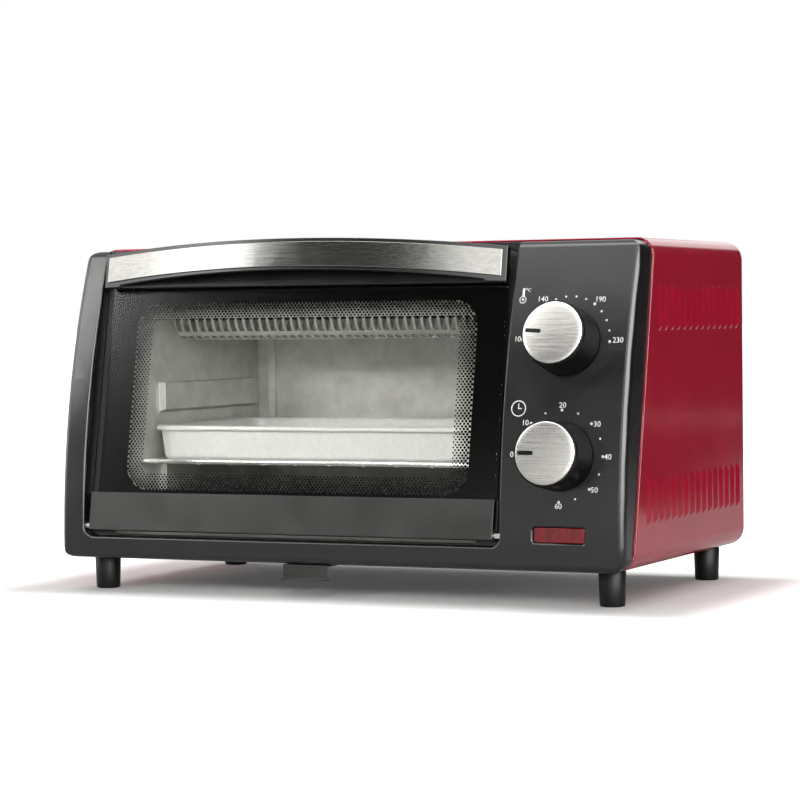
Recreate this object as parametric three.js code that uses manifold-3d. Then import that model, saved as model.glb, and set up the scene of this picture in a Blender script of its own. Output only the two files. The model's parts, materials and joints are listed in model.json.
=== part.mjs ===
// A compact counter-top electric oven with a drop-down glass door, two dials and a crumb tray.
// Millimetres, +Z up, the front faces -Y, X runs to the right seen from the front.
// Depths are written from the lowest front edge of the front frame and grow backwards.
// At the end the model is centred over its own footprint, with the feet standing on Z = 0.
import * as THREE from 'three';
import { mergeVertices } from 'three/addons/utils/BufferGeometryUtils.js';
import Module from 'manifold-3d';

const wasm = await Module();
wasm.setup();

// Driving sizes shared by several pieces
const sheet = 0.8;
const seatGap = 0.3;
const overrun = 6;
const bodyWidth = 360;
const standHeight = 20;
const bodyDepth = 202.4;

// Front frame: moulded, with a face that curves backwards towards its top
const frame = {
  height: 182.7, curveStart: 27, curveRadius: 455, wall: 2.5, edgeRound: 4, cornerRound: 9,
  topRail: 4.2, railFaceBehindDoor: 4.6,
};
const opening = { centreX: -29.75, width: 269.5, bottom: 33, cornerRound: 6 };

// Cabinet: one wrap of sheet with slanted front edges, and its pressed louvres
const cabinet = {
  topStep: 1.5, cornerRound: 11, frontLow: 12.1, frontHigh: 50.3, flange: 25,
};
const vent = {
  pitch: 10.3, ramp: 3.6, rise: 1.4, taper: 3, slot: 1.6, point: 1.2, rearGap: 14.9, frontMargin: 4,
  upperDrop: 52.2, upperHeight: 25.2, lowerLift: 24.2, lowerHeight: 26.2,
};
const basePlate = { front: 17, rearInset: 4 };
const rearPanel = {
  setBack: 1.6, ventCentreX: 50.4, ventDrop: 54.2, ventWidth: 2.6, ventHeight: 22, ventPitch: 11,
  ventCount: 9,
};
const feet = {
  bottomRadius: 7.1, topRadius: 7.8, sideInset: 17.45, frontY: 24.2, rearGap: 19.3, edge: 0.8,
};

// Cavity: the lined baking space, left of the body's middle so that the controls have room
const cavity = {
  halfWidth: 117.5, floorLift: 1.2, headroom: 18.7, backGap: 12.8, crumbHalfWidth: 96, crumbFront: 52,
  crumbBackGap: 30.4, crumbRound: 8,
};
const ledge = {
  reach: 4.2, height: 18, slope: 1.6, front: 62, backGap: 9.6, lowTop: 74, highDrop: 61.4,
};
const backBead = { inset: 9, width: 5, height: 1.8, round: 16, lowInset: 17.8, highInset: 10 };

// Heating elements, their ceramic bushes and the slotted guard of the upper one
const element = {
  radius: 3.5, backGap: 94.95, headroom: 20.5, floorGap: 12.8, endPast: 12, studRadius: 1.6, stud: 5,
};
const bush = { radius: 6, flangeRadius: 8.5, flange: 2.5, neck: 3 };
const guard = { outerRadius: 14.5, slotPitch: 12, slotWidth: 5, slotCount: 17, lip: 4 };

// Rack and trays
const rack = {
  sidePlay: 2, front: 36.65, backGap: 13.6, frameRadius: 1.6, wireRadius: 1.2, wireCount: 10,
  endShare: 0.25,
};
const bakingTray = {
  sideGap: 3, frontGap: 0.95, backGap: 4, height: 21.2, rim: 3.2, cornerRound: 12, bottomRound: 4,
  rimDrop: 1.2,
};
const crumbTray = {
  halfWidth: 103, front: 44, backGap: 18.4, bottom: 16.2, top: 19.6, cornerRound: 3,
  tabCentreX: -17, tabWidth: 29, tabFace: 2.2, tabBottom: 11, tabLip: 4,
};
const runner = { foot: 5, front: 56, backGap: 16.4 };

// Door, drawn in its own leaning frame: local Z runs up the glass, local -Y is outwards
const hinge = { y: 3.63, z: 39, pinRadius: 1.6, pinHoleRadius: 1.95, frameHoleRadius: 2.15, pinInset: 6 };
const doorLean = 0.182;
const glass = { halfWidth: 130, thickness: 4, bottom: 2.6, topGap: 5.9, cornerRound: 3 };
const rail = {
  halfWidth: 130.65, bottom: -2.6, top: 19.8, front: 4, back: 3.5, slotBottom: 2.3,
};
const handle = {
  halfWidth: 131, endProud: 5, bow: 15, bottomGap: 23.8, topGap: 3.5, rise: 4.3, lipGap: 22.6,
  lipRise: 5.1, wall: 3, backWall: 4, hollowEnd: 12, hollowTop: 4,
};
const inlay = { sideBorder: 2.5, lowBorder: 1.7, topBorder: 2.2, thickness: 0.8 };
const doorScrew = {
  spread: 100, topGap: 14.4, shankRadius: 1.7, headRadius: 3.8, head: 1.8, holeRadius: 2.2, reach: 3,
};
const bracket = { thickness: 1.5, height: 24, foot: 12, back: 34 };

// Controls, each drawn in a frame that stands square to the curved face
const controlsX = 140.4;
const controls = { lift: 63.9, spread: 62.5 };
const knob = {
  gap: 0.8, skirtRadius: 19.6, rimRadius: 18, height: 22, discRadius: 17.4, discSeat: 0.7,
  discThickness: 1.2, socketDepth: 13, rimRound: 1.2,
};
const slot = { inner: 6.5, outer: 16, halfWidth: 1.1, endRound: 1.05 };
const shaft = { radius: 3, flat: 1, tail: 9, clearance: 0.35 };
const thermostat = { plateWidth: 36, plateHeight: 18, plate: 1.2, radius: 13.5, depth: 15, tab: 6 };
const timer = {
  width: 40, height: 38, depth: 19, postRadius: 3.6,
  bellRadius: 18, bellDepth: 11, bellWall: 1, bellShoulder: 3.6,
};
const lens = { lift: 20.4, width: 30.4, height: 8.2, round: 1.6, depth: 3.4, recess: 0.9, play: 0.3 };
const lamp = { radius: 2.6, length: 13 };
const terminal = { width: 34, depth: 15, height: 14, backGap: 44.4, notch: 5, entry: 10 };
const shield = { x: 98, frontGap: 30.65, backGap: 6.4, headroom: 8.2 };
const gland = { x: 150, z: 40, outerRadius: 8.5, neckRadius: 6, boreRadius: 3.6, flange: 3, inner: 6 };
const rearScrew = { headRadius: 3.6, head: 1.6, shankRadius: 1.6, shank: 5, inset: 8 };
const cable = { radius: 1.3, lead: 6, lift: 14, sideRoom: 6, span: 16, bow: 38 };

// Counts of straight sides and steps on round shapes
const profileSteps = 12;
const bowSteps = 24;
const arcSteps = 4;
const frameEdgeSteps = 3;
const trayEdgeSteps = 2;
const wheelSides = 32;
const rodSides = 10;
const wireSides = 6;
const footSides = 16;
const cableSteps = 14;

// Heights and places that follow from the driving sizes
const halfBody = bodyWidth / 2;
const frameTop = standHeight + frame.height;
const cabinetTop = frameTop + cabinet.topStep;
const openingLeft = opening.centreX - opening.width / 2;
const openingRight = opening.centreX + opening.width / 2;
const railUnder = frameTop - frame.topRail;
const leanAngle = Math.atan(doorLean);
const cavityLeft = opening.centreX - cavity.halfWidth;
const cavityRight = opening.centreX + cavity.halfWidth;
const cavityFloor = opening.bottom + cavity.floorLift;
const cavityCeiling = frameTop - cavity.headroom;
const cavityRear = bodyDepth - cavity.backGap;
const elementY = cavityRear - element.backGap;
const highLedgeTop = cavityCeiling - ledge.highDrop;
const shieldFront = elementY - shield.frontGap;
const upperElementZ = cavityCeiling - element.headroom;
const lowerElementZ = cavityFloor + element.floorGap;
const rackBack = cavityRear - rack.backGap;
const rackHalfWidth = cavity.halfWidth - rack.sidePlay;
const wirePitch = (2 * rackHalfWidth) / (rack.wireCount + 2 * rack.endShare);
const trayHalfWidth = rackHalfWidth - bakingTray.sideGap;
const trayFront = rack.front + bakingTray.frontGap;
const trayBack = rackBack - bakingTray.backGap;
const crumbTrayBack = bodyDepth - crumbTray.backGap;
const timerZ = standHeight + controls.lift;
const thermostatZ = timerZ + controls.spread;
const lensZ = standHeight + lens.lift;
const terminalY = bodyDepth - terminal.backGap;
const doorReach = (frameTop - hinge.z) / Math.cos(leanAngle);
const handleTop = doorReach - handle.topGap;
const handleBottom = doorReach - handle.bottomGap;
const handleLip = doorReach - handle.lipGap;
const doorScrewZ = doorReach - doorScrew.topGap;
const basePlateZ = standHeight + sheet + seatGap;
const facePlateLow = opening.bottom + seatGap;
const rearFace = bodyDepth - rearPanel.setBack;
const rearInset = sheet + seatGap;
const rackZ = ledge.lowTop + seatGap + rack.frameRadius;
const rackTop = rackZ + seatGap;

const finishes = {
  red: { color: 0x9c1630, roughness: 0.25, metalness: 0.1 },
  black: { color: 0x2c2b29, roughness: 0.5, metalness: 0 },
  rubber: { color: 0x1d1c1b, roughness: 0.8, metalness: 0 },
  zinc: { color: 0xa9aaa8, roughness: 0.45, metalness: 0.9 },
  steel: { color: 0xc4c3c0, roughness: 0.3, metalness: 1 },
  tray: { color: 0xd5d3cf, roughness: 0.4, metalness: 0.8 },
  glass: { color: 0x3a3c3b, roughness: 0.05, metalness: 0 },
  lens: { color: 0x7c1620, roughness: 0.15, metalness: 0 },
  ceramic: { color: 0xece7dc, roughness: 0.6, metalness: 0 },
  element: { color: 0x5a5753, roughness: 0.5, metalness: 0.8 },
  cable: { color: 0xb8b2a4, roughness: 0.7, metalness: 0 },
};

const axisX = new THREE.Vector3(1, 0, 0);
const axisY = new THREE.Vector3(0, 1, 0);
const axisZ = new THREE.Vector3(0, 0, 1);
const drawingPlanes = {
  x: new THREE.Matrix4().makeBasis(axisY, axisZ, axisX),
  y: new THREE.Matrix4().makeBasis(axisX, axisZ, axisY),
  z: new THREE.Matrix4(),
};

// Turns a three.js geometry into a closed solid whose faces point outwards
function solidFrom(geometry) {
  const bare = geometry.clone();
  bare.deleteAttribute('normal');
  bare.deleteAttribute('uv');
  const merged = mergeVertices(bare);
  const points = merged.getAttribute('position').array;
  const corners = merged.getIndex().array;
  const kept = [];
  let volume = 0;
  const [a, b, c] = [new THREE.Vector3(), new THREE.Vector3(), new THREE.Vector3()];
  for (let i = 0; i < corners.length; i += 3) {
    const [p, q, r] = [corners[i], corners[i + 1], corners[i + 2]];
    if (p === q || q === r || r === p) continue;
    kept.push([p, q, r]);
    a.fromArray(points, p * 3);
    b.fromArray(points, q * 3);
    c.fromArray(points, r * 3);
    volume += a.dot(b.cross(c));
  }
  const outward = kept.map(([p, q, r]) => (volume < 0 ? [p, r, q] : [p, q, r]));
  return new wasm.Manifold(new wasm.Mesh({
    numProp: 3,
    vertProperties: new Float32Array(points),
    triVerts: new Uint32Array(outward.flat()),
  }));
}

function geometryFrom(solid) {
  const mesh = solid.getMesh();
  const geometry = new THREE.BufferGeometry();
  geometry.setAttribute('position', new THREE.BufferAttribute(new Float32Array(mesh.vertProperties), 3));
  geometry.setIndex(new THREE.BufferAttribute(new Uint32Array(mesh.triVerts), 1));
  return geometry;
}

function piece(name, solid, finish) {
  const mesh = new THREE.Mesh(geometryFrom(solid), new THREE.MeshStandardMaterial(finishes[finish]));
  mesh.name = name;
  return mesh;
}

function joined(solids) {
  return solids.reduce((whole, next) => whole.add(next));
}

// A flat outline pushed along one axis: an outline for x is drawn in (y, z), for y in (x, z)
function prism(outline, axis, from, to) {
  const settings = { depth: to - from, bevelEnabled: false, curveSegments: arcSteps };
  const geometry = new THREE.ExtrudeGeometry(outline, settings);
  geometry.translate(0, 0, from);
  return solidFrom(geometry.applyMatrix4(drawingPlanes[axis]));
}

function polygon(points) {
  return new THREE.Shape(points.map(([u, v]) => new THREE.Vector2(u, v)));
}

function rectangle(left, right, low, high) {
  return polygon([[left, low], [right, low], [right, high], [left, high]]);
}

function roundedRectangle(left, right, low, high, radius) {
  const shape = new THREE.Shape();
  const quarter = Math.PI / 2;
  shape.absarc(right - radius, low + radius, radius, -quarter, 0);
  shape.absarc(right - radius, high - radius, radius, 0, quarter);
  shape.absarc(left + radius, high - radius, radius, quarter, 2 * quarter);
  shape.absarc(left + radius, low + radius, radius, 2 * quarter, 3 * quarter);
  return shape;
}

function wheelOutline(u, v, radius, sides) {
  const turn = (2 * Math.PI) / sides;
  return polygon(Array.from({ length: sides }, (_, i) => [
    u + radius * Math.cos((i + 0.5) * turn),
    v + radius * Math.sin((i + 0.5) * turn),
  ]));
}

function block(x, y, z) {
  return prism(rectangle(x[0], x[1], y[0], y[1]), 'z', z[0], z[1]);
}

function rod(axis, u, v, radius, from, to, sides = rodSides) {
  return prism(wheelOutline(u, v, radius, sides), axis, from, to);
}

// A turned piece about the local Y axis: profile points are (radius, distance out of the face)
function turned(profile, sides) {
  const points = profile.map(([radius, out]) => new THREE.Vector2(radius, -out));
  return solidFrom(new THREE.LatheGeometry(points, sides));
}

function span(a, b) {
  return [Math.min(a, b), Math.max(a, b)];
}

// A shape that runs from 0 at both ends of a span to 1 in the middle, as a flat arch does
function archShare(x, halfSpan) {
  return 1 - (x / halfSpan) ** 2;
}

function stepsAcross(halfSpan, steps) {
  return Array.from({ length: steps + 1 }, (_, i) => -halfSpan + (2 * halfSpan * i) / steps);
}

// Depth of the curved front face at a height above the floor
function faceDepth(z) {
  const rise = Math.max(0, z - frame.curveStart);
  return (rise * rise) / (2 * frame.curveRadius);
}

// Depth of the cabinet's slanted front edge at a height above the floor
function cabinetFront(z) {
  const share = (z - standHeight) / (cabinetTop - standHeight);
  return cabinet.frontLow + (cabinet.frontHigh - cabinet.frontLow) * share;
}

// Depth of a plane parallel to the closed door, a distance behind the hinge line
function behindDoor(z, distance) {
  return hinge.y + distance / Math.cos(leanAngle) + doorLean * (z - hinge.z);
}

function leaningSlab(near, far, low, high) {
  return polygon([
    [behindDoor(low, near), low], [behindDoor(low, far), low],
    [behindDoor(high, far), high], [behindDoor(high, near), high],
  ]);
}

// Side outline of the front frame: the curved face and the slanted back
function frameOutline(inset, rounding, backExtra) {
  const low = standHeight + inset;
  const high = frameTop - inset;
  const shape = new THREE.Shape();
  shape.moveTo(cabinetFront(low) + backExtra, low);
  shape.lineTo(faceDepth(low) + inset + rounding, low);
  const first = low + rounding;
  const last = high - rounding;
  shape.quadraticCurveTo(faceDepth(low) + inset, low, faceDepth(first) + inset, first);
  for (let i = 1; i <= profileSteps; i += 1) {
    const z = first + ((last - first) * i) / profileSteps;
    shape.lineTo(faceDepth(z) + inset, z);
  }
  shape.quadraticCurveTo(faceDepth(high) + inset, high, faceDepth(high) + inset + rounding, high);
  shape.lineTo(cabinetFront(high) + backExtra, high);
  return shape;
}

function sharpFrameOutline() {
  const points = [[cabinetFront(standHeight) + frame.edgeRound, standHeight]];
  for (let i = 0; i <= profileSteps; i += 1) {
    const z = standHeight + (frame.height * i) / profileSteps;
    points.push([faceDepth(z), z]);
  }
  points.push([cabinetFront(frameTop) + frame.edgeRound, frameTop]);
  return polygon(points);
}

// The frame's outer body, with rounded left and right edges along the curved face
function frameBody() {
  const round = frame.edgeRound;
  const geometry = new THREE.ExtrudeGeometry(sharpFrameOutline(), {
    depth: bodyWidth - 2 * round, bevelEnabled: true, bevelThickness: round, bevelSize: round,
    bevelOffset: -round, bevelSegments: frameEdgeSteps,
  });
  geometry.translate(0, 0, round - halfBody);
  const curved = solidFrom(geometry.applyMatrix4(drawingPlanes.x));
  const sides = prism(
    frameOutline(0, frame.edgeRound, -seatGap), 'x', -halfBody - overrun, halfBody + overrun,
  );
  const corner = roundedRectangle(-halfBody, halfBody, standHeight, frameTop, frame.cornerRound);
  return curved.intersect(sides).intersect(prism(corner, 'y', -overrun, bodyDepth));
}

// The opening takes the closed door; above it only the top rail crosses behind the handle
function doorOpening() {
  const mouth = roundedRectangle(openingLeft, openingRight, opening.bottom, railUnder, opening.cornerRound);
  const low = hinge.z + overrun;
  const high = frameTop + overrun;
  const inFront = polygon([
    [-overrun, low], [behindDoor(low, frame.railFaceBehindDoor), low],
    [behindDoor(high, frame.railFaceBehindDoor), high], [-overrun, high],
  ]);
  return prism(mouth, 'y', -overrun, bodyDepth).add(prism(inFront, 'x', openingLeft, openingRight));
}

function framePocket() {
  const wall = frame.wall;
  const inside = prism(frameOutline(wall, wall, overrun), 'x', wall - halfBody, halfBody - wall);
  const collar = roundedRectangle(
    openingLeft - wall, openingRight + wall, opening.bottom - wall, frameTop + overrun,
    opening.cornerRound + wall,
  );
  return inside.subtract(prism(collar, 'y', -overrun, bodyDepth));
}

// A frame of reference square to the curved face, with its origin on the face
function controlMatrix(z) {
  const slope = (z - frame.curveStart) / frame.curveRadius;
  const turn = new THREE.Quaternion().setFromAxisAngle(axisX, -Math.atan(slope));
  return new THREE.Matrix4().compose(
    new THREE.Vector3(controlsX, faceDepth(z), z), turn, new THREE.Vector3(1, 1, 1),
  );
}

function shaftHole(z) {
  const hole = new THREE.CylinderGeometry(
    shaft.radius + shaft.clearance, shaft.radius + shaft.clearance, 2 * overrun, wheelSides / 2,
  );
  return solidFrom(hole.applyMatrix4(controlMatrix(z)));
}

function lensOutline(play) {
  const halfWide = lens.width / 2 + play;
  const halfHigh = lens.height / 2 + play;
  return roundedRectangle(
    controlsX - halfWide, controlsX + halfWide, lensZ - halfHigh, lensZ + halfHigh,
    lens.round + play,
  );
}

function frontFrame() {
  const pinHole = rod(
    'x', hinge.y, hinge.z, hinge.frameHoleRadius, openingLeft - overrun, openingRight + overrun,
  );
  return frameBody()
    .subtract(framePocket())
    .subtract(doorOpening())
    .subtract(shaftHole(thermostatZ))
    .subtract(shaftHole(timerZ))
    .subtract(prism(lensOutline(lens.play), 'y', -overrun, overrun))
    .subtract(pinHole);
}

// Where each louvre starts: rows run forwards from the rear as far as the slanted front edge allows
function louvrePlaces() {
  const rows = [
    [cabinetTop - vent.upperDrop, vent.upperHeight], [standHeight + vent.lowerLift, vent.lowerHeight],
  ];
  return rows.flatMap(([low, height]) => {
    const room = bodyDepth - vent.rearGap - cabinetFront(low + height) - vent.frontMargin;
    const count = Math.floor(room / vent.pitch) + 1;
    return Array.from({ length: count }, (_, i) => ({
      y: bodyDepth - vent.rearGap - i * vent.pitch, low, high: low + height,
    }));
  });
}

// A louvre is pushed outwards as a ramp that rises to the rear and ends above its slot
function louvreRamp(side, { y, low, high }) {
  const seat = side * (halfBody - sheet / 2);
  const wall = side * halfBody;
  const crest = side * (halfBody + vent.rise);
  const end = y + vent.ramp;
  const ramp = prism(polygon([[seat, y], [wall, y], [crest, end], [seat, end]]), 'z', low, high);
  const ends = polygon([
    [seat, low], [wall, low], [crest, low + vent.taper], [crest, high - vent.taper], [wall, high],
    [seat, high],
  ]);
  return ramp.intersect(prism(ends, 'y', y - overrun, end + overrun));
}

function louvreSlot({ y, low, high }) {
  const near = y + vent.ramp;
  const far = near + vent.slot;
  return prism(polygon([
    [near, low + vent.point], [far, low + vent.taper], [far, high - vent.taper], [near, high - vent.point],
  ]), 'x', -halfBody - overrun, halfBody + overrun);
}

function cabinetShell() {
  const wrap = (inset, from, to) => prism(roundedRectangle(
    inset - halfBody, halfBody - inset, standHeight + inset, cabinetTop - inset, cabinet.cornerRound - inset,
  ), 'y', from, to);
  const past = cabinetTop + overrun;
  const below = standHeight - overrun;
  const side = polygon([
    [cabinetFront(below), below], [bodyDepth, below], [bodyDepth, past], [cabinetFront(past), past],
  ]);
  const gap = halfBody - cabinet.flange;
  const louvres = louvrePlaces();
  return wrap(0, -overrun, bodyDepth + overrun)
    .intersect(prism(side, 'x', -halfBody - overrun, halfBody + overrun))
    .subtract(wrap(sheet, -2 * overrun, bodyDepth + 2 * overrun))
    .subtract(block([-gap, gap], [-overrun, bodyDepth + overrun], [below, standHeight + overrun]))
    .add(joined(louvres.map((place) => louvreRamp(-1, place))))
    .add(joined(louvres.map((place) => louvreRamp(1, place))))
    .subtract(joined(louvres.map(louvreSlot)));
}

function crumbHole(low, high) {
  const outline = roundedRectangle(
    opening.centreX - cavity.crumbHalfWidth, opening.centreX + cavity.crumbHalfWidth,
    cavity.crumbFront, bodyDepth - cavity.crumbBackGap, cavity.crumbRound,
  );
  return prism(outline, 'z', low, high);
}

function basePlateSolid() {
  const side = halfBody - cabinet.cornerRound - seatGap;
  const plate = block(
    [-side, side], [basePlate.front, bodyDepth - basePlate.rearInset], [basePlateZ, basePlateZ + sheet],
  );
  return plate.subtract(crumbHole(basePlateZ - overrun, basePlateZ + overrun));
}

function rearVentHoles() {
  const low = cabinetTop - rearPanel.ventDrop;
  const slots = [];
  for (let i = 0; i < rearPanel.ventCount; i += 1) {
    const x = rearPanel.ventCentreX + (i - (rearPanel.ventCount - 1) / 2) * rearPanel.ventPitch;
    const outline = rectangle(
      x - rearPanel.ventWidth / 2, x + rearPanel.ventWidth / 2,
      low, low + rearPanel.ventHeight,
    );
    slots.push(prism(outline, 'y', bodyDepth - 2 * overrun, bodyDepth + overrun));
  }
  return joined(slots);
}

// The rear screws stand in a rectangle and in pairs half way up the sides
function rearScrewPlaces() {
  const x = halfBody - rearInset - rearScrew.inset;
  const low = standHeight + rearInset + rearScrew.inset;
  const high = cabinetTop - rearInset - rearScrew.inset;
  return [low, (low + high) / 2, high].flatMap((z) => [[-x, z], [x, z]]);
}

function rearPanelSolid() {
  const outline = roundedRectangle(
    rearInset - halfBody, halfBody - rearInset, standHeight + rearInset, cabinetTop - rearInset,
    cabinet.cornerRound - rearInset,
  );
  let plate = prism(outline, 'y', rearFace - sheet, rearFace).subtract(rearVentHoles());
  plate = plate.subtract(rod(
    'y', gland.x, gland.z, gland.neckRadius + seatGap, rearFace - overrun, rearFace + overrun, footSides,
  ));
  for (const [x, z] of rearScrewPlaces()) {
    plate = plate.subtract(rod(
      'y', x, z, rearScrew.shankRadius + seatGap, rearFace - overrun, rearFace + overrun,
    ));
  }
  return plate;
}

function rearScrewSolid(x, z) {
  const start = rearFace + seatGap;
  return rod('y', x, z, rearScrew.headRadius, start, start + rearScrew.head)
    .add(rod('y', x, z, rearScrew.shankRadius, start - rearScrew.shank, start + rearScrew.head / 2));
}

function glandSolid() {
  const outside = rearFace + seatGap;
  const inside = rearFace - sheet - seatGap;
  const ring = (radius, from, to) => rod('y', gland.x, gland.z, radius, from, to, footSides);
  return ring(gland.outerRadius, outside, outside + gland.flange)
    .add(ring(gland.neckRadius, inside - gland.inner, outside + gland.flange / 2))
    .add(ring(gland.outerRadius, inside - gland.flange, inside))
    .subtract(ring(gland.boreRadius, inside - 2 * gland.inner, outside + overrun));
}

function footSolid() {
  const top = standHeight - seatGap;
  const profile = [
    [0, 0], [feet.bottomRadius - feet.edge, 0], [feet.bottomRadius, feet.edge],
    [feet.topRadius, top], [0, top],
  ];
  const points = profile.map(([radius, height]) => new THREE.Vector2(radius, height));
  return new THREE.LatheGeometry(points, footSides).rotateX(Math.PI / 2);
}

// A pressed ledge on a side wall: flat on top for the rack's side bar, sloped below
function ledgeSolid(side, top) {
  const wall = opening.centreX + side * (cavity.halfWidth + sheet / 2);
  const face = opening.centreX + side * (cavity.halfWidth - ledge.reach);
  const low = top - ledge.height;
  return prism(polygon([
    [wall, low], [face, low + ledge.slope], [face, top], [wall, top],
  ]), 'y', ledge.front, cavityRear - ledge.backGap);
}

function bushHoles() {
  return joined([upperElementZ, lowerElementZ].map((z) => rod(
    'x', elementY, z, bush.radius + seatGap, cavityLeft - overrun, cavityRight + overrun, footSides,
  )));
}

function cavityShell() {
  const near = frame.railFaceBehindDoor + sheet + seatGap;
  const sideOutline = (low, high, extra) => polygon([
    [behindDoor(low, near) - extra, low], [cavityRear + extra, low],
    [cavityRear + extra, high], [behindDoor(high, near) - extra, high],
  ]);
  const outer = prism(
    sideOutline(cavityFloor - sheet, cavityCeiling + sheet, 0),
    'x', cavityLeft - sheet, cavityRight + sheet,
  );
  const inner = prism(sideOutline(cavityFloor, cavityCeiling, overrun), 'x', cavityLeft, cavityRight);
  const ledges = [-1, 1].flatMap((side) => [ledgeSolid(side, ledge.lowTop), ledgeSolid(side, highLedgeTop)]);
  return outer.subtract(inner)
    .subtract(crumbHole(cavityFloor - overrun, cavityFloor + overrun))
    .add(joined(ledges))
    .subtract(bushHoles());
}

function cavityBack() {
  const near = cavityRear + seatGap;
  const plate = block(
    [cavityLeft - sheet, cavityRight + sheet], [near, near + sheet],
    [cavityFloor - sheet, cavityCeiling + sheet],
  );
  const ring = (inset) => roundedRectangle(
    cavityLeft + backBead.inset + inset, cavityRight - backBead.inset - inset,
    cavityFloor + backBead.lowInset + inset, cavityCeiling - backBead.highInset - inset,
    backBead.round - inset,
  );
  const front = near - backBead.height;
  const bead = prism(ring(0), 'y', front, near + sheet / 2)
    .subtract(prism(ring(backBead.width), 'y', front - overrun, near + overrun));
  return plate.add(bead);
}

function facePlateSolid() {
  const near = frame.railFaceBehindDoor;
  const slab = prism(
    leaningSlab(near, near + sheet, facePlateLow, railUnder - seatGap),
    'x', openingLeft + seatGap, openingRight - seatGap,
  );
  const edge = roundedRectangle(
    openingLeft + seatGap, openingRight - seatGap, facePlateLow, railUnder - seatGap, opening.cornerRound,
  );
  const mouth = rectangle(cavityLeft, cavityRight, cavityFloor, cavityCeiling);
  return slab.intersect(prism(edge, 'y', -overrun, bodyDepth))
    .subtract(prism(mouth, 'y', -overrun, bodyDepth));
}

// A bracket behind the frame's collar, bent round to the side of the cavity
function hingeBracket(side) {
  const collar = side < 0 ? openingLeft - frame.wall - seatGap : openingRight + frame.wall + seatGap;
  const wall = side < 0 ? cavityLeft - sheet - seatGap : cavityRight + sheet + seatGap;
  const outer = collar + side * bracket.thickness;
  const low = hinge.z - bracket.height / 2;
  const high = hinge.z + bracket.height / 2;
  const front = faceDepth(high) + frame.wall + seatGap;
  const arm = block(span(collar, outer), [front, bracket.back], [low, high]);
  const bridge = block(
    span(wall, outer), [bracket.back - bracket.thickness, bracket.back], [low, high],
  );
  const foot = block(
    span(wall, wall + side * bracket.thickness),
    [bracket.back - bracket.thickness, bracket.back + bracket.foot], [low, high],
  );
  return arm.add(bridge).add(foot)
    .subtract(rod('x', hinge.y, hinge.z, hinge.frameHoleRadius, collar - overrun, collar + overrun));
}

function heatShield() {
  const low = basePlateZ + sheet + seatGap;
  return block([shield.x, shield.x + sheet], [shieldFront, bodyDepth - shield.backGap],
    [low, cabinetTop - shield.headroom])
    .subtract(joined([upperElementZ, lowerElementZ].map((z) => rod(
      'x', elementY, z, bush.flangeRadius + seatGap, shield.x - overrun, shield.x + overrun, footSides,
    ))));
}

function elementSolid(z) {
  const left = cavityLeft - sheet - element.endPast;
  const right = cavityRight + sheet + element.endPast;
  return rod('x', elementY, z, element.radius, left, right)
    .add(rod('x', elementY, z, element.studRadius, left - element.stud, right + element.stud));
}

// A ceramic bush in the cavity wall: neck through the wall, flange outside it
function bushSolid(side, z) {
  const wall = opening.centreX + side * (cavity.halfWidth + sheet + seatGap);
  const [flangeFrom, flangeTo] = span(wall, wall + side * bush.flange);
  const [neckFrom, neckTo] = span(wall - side * bush.neck, wall + side * bush.flange / 2);
  return rod('x', elementY, z, bush.flangeRadius, flangeFrom, flangeTo, footSides)
    .add(rod('x', elementY, z, bush.radius, neckFrom, neckTo, footSides))
    .subtract(rod(
      'x', elementY, z, element.radius + seatGap, flangeFrom - overrun, flangeTo + overrun,
    ));
}

// A slotted half tube below the upper element, from wall to wall
function elementGuard() {
  const from = cavityLeft + seatGap;
  const to = cavityRight - seatGap;
  const outer = rod('x', elementY, upperElementZ, guard.outerRadius, from, to, footSides);
  const inner = rod(
    'x', elementY, upperElementZ, guard.outerRadius - sheet, from - overrun, to + overrun, footSides,
  );
  const reach = 2 * guard.outerRadius;
  const high = upperElementZ + guard.lip;
  const upper = block(
    [from - overrun, to + overrun], [elementY - reach, elementY + reach], [high, high + reach],
  );
  const slots = [];
  for (let i = 0; i < guard.slotCount; i += 1) {
    const x = opening.centreX + (i - (guard.slotCount - 1) / 2) * guard.slotPitch;
    slots.push(block(
      [x - guard.slotWidth / 2, x + guard.slotWidth / 2],
      [elementY - reach, elementY - guard.outerRadius / 2],
      [upperElementZ - guard.outerRadius, upperElementZ],
    ));
  }
  const tips = block(
    [from - overrun, to + overrun], [elementY - reach, elementY + reach],
    [upperElementZ - guard.outerRadius - overrun, upperElementZ - guard.outerRadius + seatGap],
  );
  return outer.subtract(inner).subtract(upper).subtract(joined(slots)).subtract(tips);
}

function wireRack() {
  const left = opening.centreX - rackHalfWidth;
  const right = opening.centreX + rackHalfWidth;
  const bar = rack.frameRadius;
  const wires = [
    rod('x', rack.front + bar, rackZ, bar, left, right, wireSides),
    rod('x', rackBack - bar, rackZ, bar, left, right, wireSides),
    rod('y', left + bar, rackZ, bar, rack.front, rackBack, wireSides),
    rod('y', right - bar, rackZ, bar, rack.front, rackBack, wireSides),
    rod('x', (rack.front + rackBack) / 2, rackTop - 2 * rack.wireRadius, rack.wireRadius,
      left + wirePitch / 2, right - wirePitch / 2, wireSides),
  ];
  for (let i = 0; i < rack.wireCount; i += 1) {
    const x = opening.centreX + (i - (rack.wireCount - 1) / 2) * wirePitch;
    wires.push(rod(
      'y', x, rackTop - rack.wireRadius, rack.wireRadius,
      rack.front + bar / 2, rackBack - bar / 2, wireSides,
    ));
  }
  return joined(wires);
}

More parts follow.
